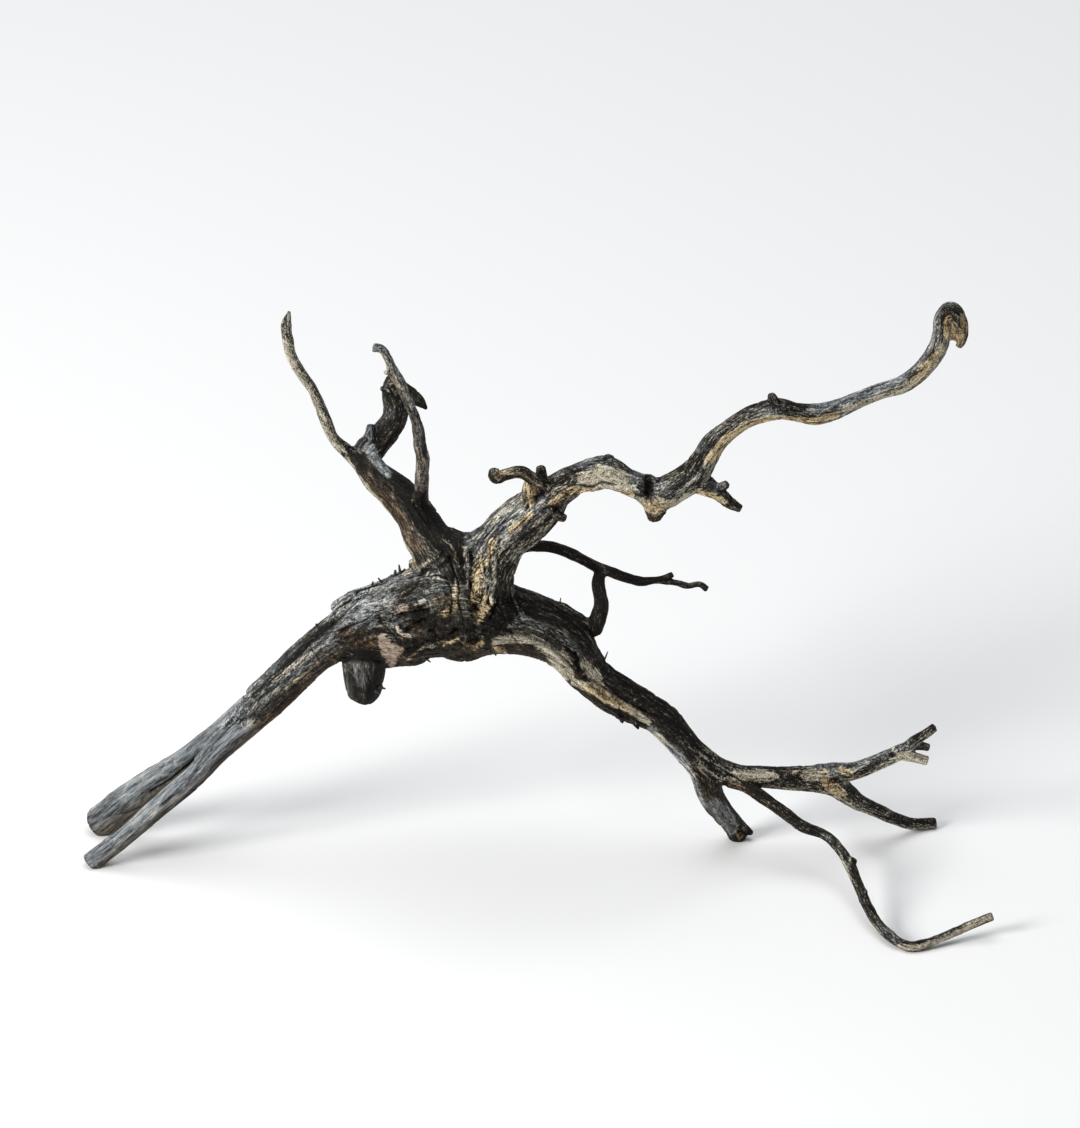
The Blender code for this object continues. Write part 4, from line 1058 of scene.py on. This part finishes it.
class Grain:
    """Which limb each point of the skin belongs to, and how the grain of the wood runs there."""

    # How far outside a limb its grain still counts, and the gap over which it fades, in millimetres
    REACH = 14
    MELT = 3.0
    # How far apart the grain of neighbouring limbs is taken from the noise, in millimetres
    APART = (37, 53, 400)

    def __init__(self, skin):
        count = len(skin.at)
        self.gap = np.full(count, 1e3)
        self.next_gap = np.full(count, 1e3)
        self.limb = np.zeros(count, int)
        self.width = np.zeros(count)
        self.place = np.zeros((count, 3))
        leading = np.zeros((count, 3))
        found = []
        for number, (name, stations) in enumerate(LIMBS.items()):
            if name in FILLERS:
                continue
            line = LimbLine(stations)
            index, nearest, advance, across, gap = line.measure(skin.at, self.REACH)
            found.append((index, line.along[nearest], gap, line.width[nearest]))
            closer = gap < self.gap[index]
            second = np.minimum(self.next_gap[index], gap)
            self.next_gap[index] = np.where(closer, self.gap[index], second)
            own = index[closer]
            near = nearest[closer]
            self.gap[own] = gap[closer]
            self.limb[own] = number
            leading[own] = line.along[near]
            width = 0.4 * np.median(line.width) + 0.6 * line.width[near]
            turn = unit(across[closer]) * width[:, None]
            place = (
                dots(turn, line.side[near]),
                dots(turn, line.other_side[near]),
                line.length[near] + advance[closer],
            )
            for axis, (value, apart) in enumerate(zip(place, self.APART)):
                self.place[own, axis] = value + apart * number
        total = np.zeros(count)
        blend = np.zeros((count, 3))
        for index, along, gap, width in found:
            weight = np.exp(-gap / self.MELT)
            turned = np.where(dots(along, leading[index]) < 0, -1, 1)
            blend[index] += along * (weight * turned)[:, None]
            self.width[index] += width * weight
            total[index] += weight
        self.width /= np.maximum(total, 1e-9)
        self.lead = unit(blend)
        self.sure = ease(0.2, 1.6, self.next_gap - self.gap)

    def comes_in(self, trait):
        """How far a trait of thick limbs shows at each point, from 0 to 1."""
        return ease(*COMES_IN[trait], self.width)

    def comb(self, skin):
        """Turns the grain along the strokes of COMBING."""
        sheet = skin.sheet()
        facing = ease(0.0, 0.35, skin.out @ TOWARDS_VIEWER)
        for spots in COMBING:
            cover = brushed(spots, sheet, np.zeros(len(sheet))) * facing
            near = np.flatnonzero(cover > 0)
            middles = np.array(spots, float)[:, :2]
            runs = np.gradient(middles, axis=0)
            away = np.linalg.norm(sheet[near][:, None] - middles[None], axis=2)
            run = unit(runs[away.argmin(axis=1)] @ SHEET_AXES)
            turned = np.where(dots(run, self.lead[near]) < 0, -1, 1)[:, None]
            share = cover[near, None]
            self.lead[near] = unit(self.lead[near] * (1 - share) + run * turned * share)

    def lay(self, skin, knots):
        """Lays the grain on the skin, slightly twisted, parting round each knot (place, size)."""
        self.comb(skin)
        out = skin.out
        along = unit(self.lead - dots(self.lead, out)[:, None] * out)
        twist = 0.10 + 0.22 * skin.bumps("twist") + 0.16 * skin.bumps("small_twist")
        across = np.cross(out, along)
        along = along * np.cos(twist)[:, None] + across * np.sin(twist)[:, None]
        for place, size in knots:
            offset = skin.at - place
            near = np.flatnonzero((offset**2).sum(axis=1) < (size * 5) ** 2)
            offset = offset[near]
            distance = np.maximum(np.linalg.norm(offset, axis=1), size * 0.6)[:, None]
            away = unit(offset)
            strength = np.minimum(1.2, (size / distance) ** 2)
            mirrored = 2 * dots(along[near], away)[:, None] * away - along[near]
            along[near] = unit(along[near] - strength * mirrored)
        self.along = unit(along - dots(along, out)[:, None] * out)
        self.tree = kdtree.KDTree(len(skin.at))
        for number, place in enumerate(skin.at.tolist()):
            self.tree.insert(place, number)
        self.tree.balance()
        self.ahead = self.found(skin.at + self.along * GRAIN_STEP)
        self.behind = self.found(skin.at - self.along * GRAIN_STEP)

    def found(self, places):
        """The point of the skin that is nearest to each place."""
        return np.array([self.tree.find(place)[1] for place in places.tolist()])

    def strands(self, skin, rng, likely, count, reach, half_width):
        """How strongly thin strands along the grain cover each point. reach is in steps."""
        cover = np.zeros(len(skin.at))
        across = np.cross(skin.out, self.along)
        for index in rng.choice(len(skin.at), count, p=likely / likely.sum()):
            steps = int(rng.integers(*reach))
            turn = rng.normal(0, 0.12)
            bend = rng.normal(0, 0.5)
            sense = 1
            path = [skin.at[index]]
            for _ in range(steps):
                bend += turn + rng.normal(0, 0.08)
                way = self.along[index] * math.cos(bend) + across[index] * math.sin(bend)
                following = self.tree.find(skin.at[index] + way * sense * GRAIN_STEP)[1]
                if self.along[index] @ self.along[following] < 0:
                    sense = -sense
                bend *= 0.9
                index = following
                path.append(skin.at[index])
            path = np.array(path)
            path[1:-1] = (path[:-2] + 2 * path[1:-1] + path[2:]) / 4
            width = half_width * rng.uniform(0.75, 1.3)
            strength = rng.uniform(0.5, 1)
            for step in np.arange(0, steps, 0.34):
                share = step % 1
                place = path[int(step)] * (1 - share) + path[int(step) + 1] * share
                swell = 1 - (2 * step / steps - 1) ** 2
                radius = width * (0.75 + 0.75 * swell)
                most = strength * (0.4 + 0.6 * swell)
                for _, near, distance in self.tree.find_range(place, radius):
                    cover[near] = max(cover[near], most * (1 - (distance / radius) ** 2))
        return cover

    def drawn_out(self, values, reach):
        """The values smeared along the grain, reach steps each way, with mean 0 and spread 1."""
        total = values.copy()
        for way in (1, -1):
            at = np.arange(len(values))
            sense = np.full(len(values), way)
            for _ in range(reach):
                following = np.where(sense > 0, self.ahead[at], self.behind[at])
                turned = dots(self.along[at], self.along[following]) < 0
                sense = np.where(turned, -sense, sense)
                at = following
                total += values[at]
        total -= total.mean()
        return total / total.std()


def brushed(spots, sheet, ragged):
    """How strongly a stroke through the spots (right, up, half width) covers each sheet place."""
    spots = np.array(spots, float)
    if len(spots) == 1:
        spots = np.vstack((spots, spots + (0.01, 0, 0)))
    span = spots[:, 2].max() * 1.6
    low, high = spots[:, :2].min(axis=0) - span, spots[:, :2].max(axis=0) + span
    near = np.flatnonzero(((sheet > low) & (sheet < high)).all(axis=1))
    closest = np.full(len(near), 9.0)
    for start, end in zip(spots, spots[1:]):
        run = end[:2] - start[:2]
        share = np.clip((sheet[near] - start[:2]) @ run / (run @ run), 0, 1)
        middle = start[:2] + share[:, None] * run
        width = start[2] + share * (end[2] - start[2])
        closest = np.minimum(closest, np.linalg.norm(sheet[near] - middle, axis=1) / width)
    cover = np.zeros(len(sheet))
    cover[near] = 1 - ease(0.45, 1.25, closest + ragged[near])
    return cover


def soften_forks(skin, grain):
    """Fills the forks between thick limbs with soft fillets."""
    melt = np.exp(-np.maximum(grain.next_gap, 0) / grain.MELT) * grain.comes_in("fillets")
    skin.at = skin.evened(skin.at, 0.5 * np.clip(0.45 * melt + 0.05, 0, 1), FORK_ROUNDS)
    skin.turn_outwards()


def all_knots(skin, grain, rng):
    """The knots seen in front, and others by chance behind, as (place, size)."""
    knots = [(skin.front_place(right, up), size) for right, up, size in KNOTS]
    behind = skin.out @ TOWARDS_VIEWER < -0.1
    hidden = np.flatnonzero(behind & (grain.width > BACK_KNOT_LIMB))
    for index in rng.choice(hidden, BACK_KNOTS, replace=False):
        knots.append((skin.at[index], rng.uniform(*BACK_KNOT_SIZES)))
    return knots


def blended_looks(skin, grain, facing):
    """The four looks of LOOKS at each point, blended more widely on the hidden side."""
    looks = np.array([LOOKS.get(name, USUAL_LOOK) for name in LIMBS])[grain.limb]
    looks = skin.evened(looks, 0.5, LOOK_ROUNDS)
    wide = skin.evened(looks, 0.5, BACK_LOOK_ROUNDS)
    return (looks + (wide - looks) * (1 - facing)[:, None]).T


def crumble(skin, grain, facing, ragged):
    """How rotten each point is, and how its crumbs stand."""
    crumbs = 0.5 * skin.bumps("crumbs") + 0.45 * skin.bumps("small_crumbs")
    crumbs = 0.6 * (crumbs + 0.35 * skin.bumps("fine_crumbs"))
    crumbs = crumbs - 0.5 * np.abs(skin.bumps("crumb_folds")) + 0.2
    rotten = 0.35 * ease(0.15, 0.8, skin.bumps("rot")) * (1 - facing) * grain.comes_in("rot")
    sheet = skin.sheet()
    for depth, spots in CRUMBLING:
        rotten = np.maximum(rotten, depth * brushed(spots, sheet, ragged) * facing)
    return rotten, crumbs


def finish_masks(skin, grain, rng, facing, ragged):
    """How strongly each finish covers each point: by PATCHES in front, by chance behind."""
    sheet = skin.sheet()
    masks = {finish: np.zeros(len(skin.at)) for finish in PATCHES}
    for finish, patches in PATCHES.items():
        for strength, spots in patches:
            cover = brushed(spots, sheet, ragged) * facing * strength
            if finish == "ash_and_sheen":
                masks[finish] += cover
            else:
                masks[finish] = np.maximum(masks[finish], cover)
    for finish, count, most in BACK_PATCHES:
        for index in rng.choice(len(skin.at), count, replace=False):
            offset = skin.at - skin.at[index]
            run = dots(offset, grain.along[index])
            wide = np.linalg.norm(offset - run[:, None] * grain.along[index], axis=1)
            run = run / rng.uniform(*BACK_PATCH_LENGTHS)
            wide = wide / rng.uniform(*BACK_PATCH_WIDTHS)
            cover = (1 - ease(0.5, 1.2, np.hypot(run, wide) + ragged)) * (1 - facing) * most
            masks[finish] = np.maximum(masks[finish], cover)
    return masks


def carve(skin, grain):
    """Gives the skin its fillets, flutes, fibres, cracks and knots, and its masks of colour."""
    soften_forks(skin, grain)
    rng = np.random.default_rng(SEED)
    grain.lay(skin, all_knots(skin, grain, rng))
    facing = ease(*HIDDEN_SIDE, skin.out @ TOWARDS_VIEWER)
    bare, tan, contrast, rough = blended_looks(skin, grain, facing)

    # What runs along the grain
    flutes = grain.drawn_out(skin.bumps("flutes"), FLUTE_LENGTH)
    ridges = grain.drawn_out(skin.bumps("ridges"), RIDGE_LENGTH)
    fibres = grain.drawn_out(skin.evened(rng.normal(size=len(skin.at))), FIBRE_LENGTH)
    rifts = grain.drawn_out(skin.bumps("rifts"), RIFT_LENGTH)
    strands = grain.strands(skin, rng, 0.1 + grain.comes_in("strands") * rough, *STRANDS)
    gaps = grain.strands(skin, rng, grain.comes_in("gaps") * rough**2, *GAPS)
    cracks_and_painted_shade = np.maximum(ease(1.7, 2.3, rifts) * grain.comes_in("cracks") * rough, 0.8 * gaps)

    # The height of the wood, in millimetres
    size = np.clip(grain.width / USUAL_HALF_WIDTH, *RELIEF_LIMITS)
    lumps = skin.bumps("lumps") + 0.5 * skin.bumps("small_lumps")
    waves = FLUTE_RISE * flutes + RIDGE_RISE * np.tanh(ridges) + FIBRE_RISE * fibres
    twiggy = TWIG_LUMP_RISE * skin.bumps("twig_lumps")
    twiggy = twiggy + TWIG_DIMPLE_RISE * skin.bumps("twig_dimples")
    height = size * (LUMP_RISE * lumps + rough * waves) + (1 - grain.comes_in("bulk")) * twiggy
    height += np.sqrt(size) * (STRAND_RISE * strands * (1 - cracks_and_painted_shade) - CRACK_DEPTH * cracks_and_painted_shade)

    ragged = 0.16 * skin.bumps("ragged") + 0.10 * ridges
    rotten, crumbs = crumble(skin, grain, facing, ragged)
    height += CRUMB_RISE * rotten * crumbs
    relief = height - skin.evened(height, 0.5, RELIEF_ROUNDS)
    sheet = skin.sheet()
    # Each stroke's darkness is painted shade in the cut
    for rise, dark, spots in CARVING.values():
        cover = brushed(spots, sheet, 0.8 * ragged) * facing
        height += rise * cover
        cracks_and_painted_shade = np.maximum(cracks_and_painted_shade, cover * dark)

    # Where each finish lies, and painted shade that darkens the undersides but for the bright
    # finishes
    masks = finish_masks(skin, grain, rng, facing, ragged)
    ash_and_sheen = masks.pop("ash_and_sheen")
    up = skin.out[:, 2]
    # How blue-grey the wood is: weathering by limb and patch, and painted light on the side the
    # lamps face
    bloom_and_lit_side = bare + ash_and_sheen + 0.22 * (skin.out @ PAINTED_LIT_SIDE) + 0.14 * lumps + 0.05 * flutes
    masks["pale"] = np.maximum(masks["pale"], tan * (1 - 0.6 * up))
    bright = np.maximum.reduce([masks["pale"], masks["gold"], masks["pink"]])
    bright = np.maximum(ease(0.3, 1.0, bright), ease(0.5, 1.2, ash_and_sheen))
    underside_shade = ease(-0.4, 0.4, -up) * (1 - ease(0.1, 0.4, tan)) * (1 - 0.95 * bright)

    # The bare reddish patch is smooth
    flat = ease(1.2, 1.7, masks["pink"])
    height = height * (1 - 0.6 * flat)
    skin.at = skin.at + skin.out * height[:, None]
    skin.at[:, 2] = np.maximum(skin.at[:, 2], 0)
    skin.turn_outwards()

    # Fibre streaks, with painted shade in the relief's valleys and painted light on its crests
    streak_and_relief_shade = 0.09 * fibres + 0.05 * np.tanh(ridges) + 0.34 * np.clip(relief, -0.7, 0.7)
    marks = {
        "grain": grain.place,
        "sure": grain.sure,
        "streak_and_relief_shade": 0.5 + streak_and_relief_shade,
        "contrast": contrast * (1 - 0.55 * flat),
        "cracks_and_painted_shade": cracks_and_painted_shade,
        "strand": strands,
        "coarse": ease(0.2, 0.9, rough),
        "bloom_and_lit_side": np.clip(bloom_and_lit_side, 0, 1.2),
        "underside_shade": underside_shade,
        "rotten": np.clip(rotten, 0, 1),
    }
    for name, values in (marks | masks).items():
        store(skin.mesh, name, values)


class Recipe:
    """A material's nodes, put down one by one. An input is a number, colour or node's output."""

    def __init__(self, name):
        self.material = bpy.data.materials.new(name)
        self.material.use_nodes = True
        self.tree = self.material.node_tree
        self.finish = self.tree.nodes["Principled BSDF"]

    def set(self, socket, value):
        if isinstance(value, bpy.types.NodeSocket):
            self.tree.links.new(value, socket)
        else:
            socket.default_value = value

    def attribute(self, name, output="Fac"):
        node = self.tree.nodes.new("ShaderNodeAttribute")
        node.attribute_name = name
        return node.outputs[output]

    def math(self, operation, *values):
        node = self.tree.nodes.new("ShaderNodeMath")
        node.operation = operation
        for socket, value in zip(node.inputs, values):
            self.set(socket, value)
        return node.outputs["Value"]

    def added(self, total, value, weight):
        """The total and a value that is weighted by a number or another value."""
        return self.math("MULTIPLY_ADD", value, weight, total)

    def total(self, *shares):
        """Half, and (value, weight) pairs added to it, each value taken about a half."""
        result = 0.5
        for value, weight in shares:
            result = self.added(result, self.math("SUBTRACT", value, 0.5), weight)
        return result

    def ease(self, value, low, high):
        node = self.tree.nodes.new("ShaderNodeMapRange")
        node.interpolation_type = "SMOOTHSTEP"
        self.set(node.inputs["Value"], value)
        node.inputs["From Min"].default_value = low
        node.inputs["From Max"].default_value = high
        return node.outputs["Result"]

    def blend(self, share, first, second):
        """The first number, moved by share towards the second."""
        return self.added(first, self.math("SUBTRACT", second, first), share)

    def noise(self, vector, waves, detail, roughness, distortion=0.0):
        scaled = self.tree.nodes.new("ShaderNodeVectorMath")
        scaled.operation = "MULTIPLY"
        self.set(scaled.inputs[0], vector)
        scaled.inputs[1].default_value = waves
        node = self.tree.nodes.new("ShaderNodeTexNoise")
        self.set(node.inputs["Vector"], scaled.outputs["Vector"])
        node.inputs["Scale"].default_value = 1
        node.inputs["Detail"].default_value = detail
        node.inputs["Roughness"].default_value = roughness
        node.inputs["Distortion"].default_value = distortion
        return node.outputs["Fac"]

    def ramp(self, value, stops):
        node = self.tree.nodes.new("ShaderNodeValToRGB")
        self.set(node.inputs["Fac"], value)
        elements = node.color_ramp.elements
        while len(elements) < len(stops):
            elements.new(0.5)
        for element, (position, colour) in zip(elements, stops):
            element.position = position
            element.color = (*colour, 1)
        return node.outputs["Color"]

    def mix(self, factor, first, second, blend="MIX"):
        node = self.tree.nodes.new("ShaderNodeMix")
        node.data_type = "RGBA"
        node.blend_type = blend
        colours = [socket for socket in node.inputs if socket.type == "RGBA"]
        self.set(node.inputs["Factor"], factor)
        for socket, value in zip(colours, (first, second)):
            self.set(socket, value if isinstance(value, bpy.types.NodeSocket) else (*value, 1))
        return next(socket for socket in node.outputs if socket.type == "RGBA")


def weathered_wood():
    """Black wood gone blue-grey in the sun, with tan, golden and reddish wood showing through, and
    with painted light on the side the lamps face and painted shade underneath and in cracks.
    """
    recipe = Recipe("black_wood")
    place = recipe.tree.nodes.new("ShaderNodeTexCoord").outputs["Object"]
    grain = recipe.attribute("grain", "Vector")
    sure = recipe.attribute("sure")
    streak_and_relief_shade = recipe.attribute("streak_and_relief_shade")
    coarse = recipe.attribute("coarse")
    contrast = recipe.attribute("contrast")
    soot_and_shade = recipe.attribute("soot_and_shade")
    rotten = recipe.ease(recipe.attribute("rotten"), 0.1, 0.8)
    grit, crumbs, mottle, felt = [recipe.noise(place, *noise) for noise in PLACE_NOISE.values()]

    # Where two limbs melt together, the streaks, with their painted relief shade, and grit stand in
    # for noise along the grain
    melted = recipe.total((streak_and_relief_shade, 0.9), (grit, 0.5))
    along = [recipe.blend(sure, melted, recipe.noise(grain, *n)) for n in GRAIN_NOISE.values()]
    hairs, chips, bands, splits = along

    # Fine dark lines along the grain, in some places only
    off_line = recipe.math("ABSOLUTE", recipe.math("SUBTRACT", splits, 0.5))
    line = recipe.math("SUBTRACT", 1.0, recipe.ease(off_line, 0.003, 0.024))
    here = recipe.math("MULTIPLY", sure, recipe.ease(mottle, 0.36, 0.56))
    line = recipe.math("MULTIPLY", line, here)

    # How light the wood is: specks where it is coarse, and long streaks where it is smooth
    specks = recipe.math("SUBTRACT", recipe.total((chips, 1.5), (grit, 1.4)), 0.5)
    lengths = recipe.math("SUBTRACT", recipe.total((bands, 1.0), (splits, 1.3)), 0.5)
    tone = recipe.total((hairs, 1.5), (streak_and_relief_shade, 1.0), (bands, 0.4), (grit, 0.3))
    tone = recipe.added(tone, specks, coarse)
    tone = recipe.added(tone, lengths, recipe.math("SUBTRACT", 1.0, coarse))
    crumbled = recipe.total((crumbs, 1.5), (grit, 2.0), (streak_and_relief_shade, 1.0))
    tone = recipe.blend(rotten, tone, crumbled)
    tone = recipe.blend(contrast, 0.5, tone)
    tone = recipe.added(tone, line, -0.16)
    felted = recipe.total((felt, 2.0), (grit, 1.2), (streak_and_relief_shade, 0.8), (hairs, 0.5))
    felt_share = recipe.math("MULTIPLY", recipe.ease(recipe.attribute("pale"), 0.5, 1.1), 0.75)
    tone = recipe.blend(felt_share, tone, felted)
    strand = recipe.math("MULTIPLY", recipe.attribute("strand"), recipe.ease(chips, 0.25, 0.55))
    strand = recipe.math("MULTIPLY", strand, recipe.ease(soot_and_shade, 0.9, 0.2))
    tone = recipe.added(tone, strand, 0.20)
    tone = recipe.added(tone, recipe.math("MINIMUM", soot_and_shade, 1.0), -0.12)

    # The finishes laid over each other, with torn edges
    woods = {name: recipe.ramp(tone, stops) for name, stops in WOODS.items()}
    # Blue-grey weathering, with painted light on the side the lamps face
    bloom_and_lit_side = recipe.attribute("bloom_and_lit_side")
    bloom_and_lit_side = recipe.total((bloom_and_lit_side, 1.0), (bands, 0.5), (mottle, 0.7), (chips, 0.4))
    colour = recipe.mix(recipe.ease(bloom_and_lit_side, 0.10, 0.95), woods["black"], woods["grey"])
    edge = recipe.total((hairs, 0.8), (chips, 0.8), (grit, 0.7), (streak_and_relief_shade, 0.5), (mottle, 0.6))
    edge = recipe.math("SUBTRACT", edge, 0.5)
    for name, wood in LAYERS:
        mask = recipe.attribute(name)
        ragged = recipe.added(0.2, recipe.ease(mask, 0.0, 0.15), 0.8)
        cover = recipe.ease(recipe.added(mask, edge, ragged), 0.20, 0.80)
        colour = recipe.mix(recipe.math("MULTIPLY", cover, 0.96), colour, woods[wood])
    glint = recipe.math("MAXIMUM", recipe.ease(chips, 0.64, 0.80), recipe.ease(grit, 0.66, 0.80))
    glint = recipe.math("MAXIMUM", glint, recipe.math("MULTIPLY", strand, 0.6))
    colour = recipe.mix(recipe.math("MULTIPLY", glint, 0.14), colour, GLINT_COLOUR)
    # Painted shade: the undersides darkened by a warm tint
    colour = recipe.mix(recipe.attribute("underside_shade"), colour, UNDERSIDE_SHADE_TINT, "MULTIPLY")
    # Painted shade in cracks and carved hollows
    cracks_and_painted_shade = recipe.math("MULTIPLY", recipe.ease(recipe.attribute("cracks_and_painted_shade"), 0.15, 0.85), 0.82)
    cracks_and_painted_shade = recipe.math("MAXIMUM", cracks_and_painted_shade, recipe.math("MULTIPLY", line, 0.5))
    recipe.set(recipe.finish.inputs["Base Color"], recipe.mix(cracks_and_painted_shade, colour, CRACK_SHADE_COLOUR))
    recipe.set(recipe.finish.inputs["Roughness"], recipe.added(0.50, tone, 0.25))
    recipe.finish.inputs["Specular IOR Level"].default_value = WOOD_SPECULAR

    # Relief finer than the mesh
    relief = recipe.total((hairs, 0.9), (chips, 0.9), (grit, 0.8), (bands, 0.3))
    relief = recipe.blend(rotten, relief, crumbled)
    relief = recipe.blend(contrast, 0.5, relief)
    relief = recipe.added(relief, line, -0.25)
    bump = recipe.tree.nodes.new("ShaderNodeBump")
    bump.inputs["Strength"].default_value = BUMP_STRENGTH
    bump.inputs["Distance"].default_value = BUMP_HEIGHT
    recipe.set(bump.inputs["Height"], relief)
    recipe.set(recipe.finish.inputs["Normal"], bump.outputs["Normal"])
    return recipe.material


def driftwood():
    """The whole root as one skin of wood, which stands for the plain solid."""
    wood = fused_limbs()
    skin = Skin(wood)
    skin.at = skin.evened(skin.at, 0.5, FUSE_SMOOTHING)
    skin.turn_outwards()
    carve(skin, Grain(skin))

    thin = wood.modifiers.new("thin", "DECIMATE")
    thin.decimate_type = "COLLAPSE"
    thin.use_collapse_triangulate = True
    thin.ratio = MOST_TRIANGLES / (2 * len(wood.data.polygons))
    applied(wood)
    wood.data.shade_smooth()
    wood.data.materials.clear()
    wood.data.materials.append(weathered_wood())
    return wood


def plain_floor():
    mesh = bpy.data.meshes.new("floor")
    sheet = bmesh.new()
    bmesh.ops.create_grid(sheet, x_segments=1, y_segments=1, size=FLOOR_HALF_WIDTH)
    sheet.to_mesh(mesh)
    sheet.free()
    floor = placed("floor", mesh)
    recipe = Recipe("pale_floor")
    recipe.finish.inputs["Base Color"].default_value = FLOOR_COLOUR
    recipe.finish.inputs["Roughness"].default_value = 0.9
    recipe.finish.inputs["Specular IOR Level"].default_value = 0.1
    mesh.materials.append(recipe.material)


def softbox(name, place, size, power, colour):
    """A square lamp that faces the middle of the root."""
    lamp = bpy.data.lights.new(name, "AREA")
    lamp.size = size
    lamp.energy = power
    lamp.color = colour
    holder = placed(name, lamp)
    holder.location = place
    aim = Vector((0, 0, MIDDLE_HEIGHT)) - holder.location
    holder.rotation_euler = aim.to_track_quat("-Z", "Y").to_euler()


def studio():
    for name, lamp in LAMPS.items():
        softbox(name, *lamp)
    world = bpy.data.worlds.new("room_light")
    world.use_nodes = True
    backdrop = world.node_tree.nodes["Background"]
    backdrop.inputs["Color"].default_value = ROOM_COLOUR
    backdrop.inputs["Strength"].default_value = ROOM_STRENGTH
    bpy.context.scene.world = world
    bpy.context.scene.view_settings.view_transform = "Standard"


def sheet_camera():
    data = bpy.data.cameras.new("camera")
    data.sensor_width = SENSOR
    data.lens = SENSOR * CAMERA_DISTANCE / SHEET_HEIGHT
    camera = placed("camera", data)
    towards = Vector(TOWARDS_VIEWER)
    camera.location = on_sheet(*SHEET_CENTRE) + towards * CAMERA_DISTANCE
    camera.rotation_euler = (-towards).to_track_quat("-Z", "Y").to_euler()
    bpy.context.scene.camera = camera


sheet_camera()
studio()
plain_floor()
wood = driftwood()
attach(wood, "root")
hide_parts("driftwood_root")
spikes = thorns(wood)
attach(spikes, "root")
